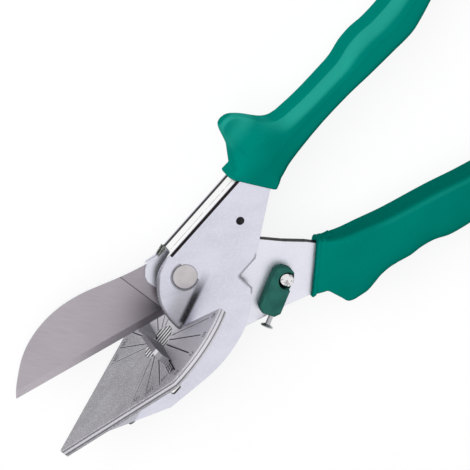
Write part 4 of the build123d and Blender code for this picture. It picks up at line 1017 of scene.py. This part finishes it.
class SHEARS_OT_stage(bpy.types.Operator):
    """Set the floor, the lights and the camera"""
    bl_idname = "shears.stage"
    bl_label = "Stage"

    def execute(self, context):
        settings = context.scene.shears_stage
        scene = context.scene
        scene.view_settings.view_transform = "Standard"
        self.floor(settings)
        self.world(settings)
        for name, spot, size, power in LAMPS:
            self.lamp(name, spot, size, power)
        camera = bpy.data.objects.new("camera", bpy.data.cameras.new("camera"))
        camera.data.lens = settings.lens
        camera.data.sensor_width = 36.0
        camera.data.clip_end = 20.0
        camera.location = settings.eye
        camera.rotation_euler = Euler(settings.turn, "XYZ")
        scene.collection.objects.link(camera)
        scene.camera = camera
        return {"FINISHED"}

    def floor(self, settings):
        """A wide pale floor under the lowest point."""
        low = CAD_BOUNDS[0][2]
        half = settings.floor_size / 2
        corners = [(-half, -half, low), (half, -half, low), (half, half, low), (-half, half, low)]
        finish = Finish("floor_white")
        glow_share = 0.82
        finish.done(Base_Color=(0.9, 0.9, 0.9), Roughness=0.9)
        floor = mesh_from("floor", corners, [(0, 1, 2, 3)], finish.material, flat=True)
        glow = finish.node("ShaderNodeEmission", {}, (1.0, 1.0, 1.0), 1.0)
        blend = finish.node("ShaderNodeMixShader", {}, finish.looked_at() * glow_share,
                            Value(finish, finish.shader.outputs[0]), glow)
        finish.put(finish.found("OUTPUT_MATERIAL").inputs[0], blend)

    def world(self, settings):
        """Even light that is plain white where it is seen or mirrored."""
        world = bpy.data.worlds.new("studio")
        bpy.context.scene.world = world
        backdrop = Backdrop(world)
        strength = backdrop.node("ShaderNodeMapRange", {}, backdrop.looked_at(), 0.0, 1.0, settings.world_light, 1.0)
        backdrop.put(backdrop.shader.inputs["Color"], (1.0, 1.0, 1.0))
        backdrop.put(backdrop.shader.inputs["Strength"], strength)

    def lamp(self, name, spot, size, power):
        """A large soft lamp that faces the shears and isn't mirrored, so that steel doesn't burn out."""
        lamp = bpy.data.objects.new(name, bpy.data.lights.new(name, "AREA"))
        lamp.data.size = size
        lamp.data.energy = power
        lamp.visible_glossy = False
        lamp.location = spot
        lamp.rotation_euler = (Vector(spot) - PIVOT).to_track_quat("Z", "Y").to_euler()
        bpy.context.scene.collection.objects.link(lamp)


OPERATORS = (SHEARS_OT_steel_body, SHEARS_OT_blade, SHEARS_OT_anvil, SHEARS_OT_fence, SHEARS_OT_latch,
             SHEARS_OT_grips, SHEARS_OT_stage)
GROUPS = {"shears_grips": GripSizes, "shears_steel": SteelSizes, "shears_scale": ScaleSizes,
          "shears_stage": StageSettings}


class SHEARS_PT_panel(bpy.types.Panel):
    """Lists the pieces and their sizes"""
    bl_idname = "SHEARS_PT_panel"
    bl_label = "Mitre shears"
    bl_space_type = "VIEW_3D"
    bl_region_type = "UI"
    bl_category = "Shears"

    def draw(self, context):
        for operator in OPERATORS:
            self.layout.operator(operator.bl_idname)
        for name, group in GROUPS.items():
            box = self.layout.box()
            box.label(text=group.__doc__)
            for key in group.__annotations__:
                box.prop(getattr(context.scene, name), key)


def register():
    """Registers the groups, operators and panel."""
    for name, group in GROUPS.items():
        bpy.utils.register_class(group)
        setattr(bpy.types.Scene, name, PointerProperty(type=group))
    for item in (*OPERATORS, SHEARS_PT_panel):
        bpy.utils.register_class(item)


def unregister():
    """Removes what register added."""
    for item in (SHEARS_PT_panel, *reversed(OPERATORS)):
        bpy.utils.unregister_class(item)
    for name, group in GROUPS.items():
        delattr(bpy.types.Scene, name)
        bpy.utils.unregister_class(group)


def main():
    register()
    for operator in OPERATORS:
        group, name = operator.bl_idname.split(".")
        getattr(getattr(bpy.ops, group), name)()


if __name__ == "__main__":
    main()
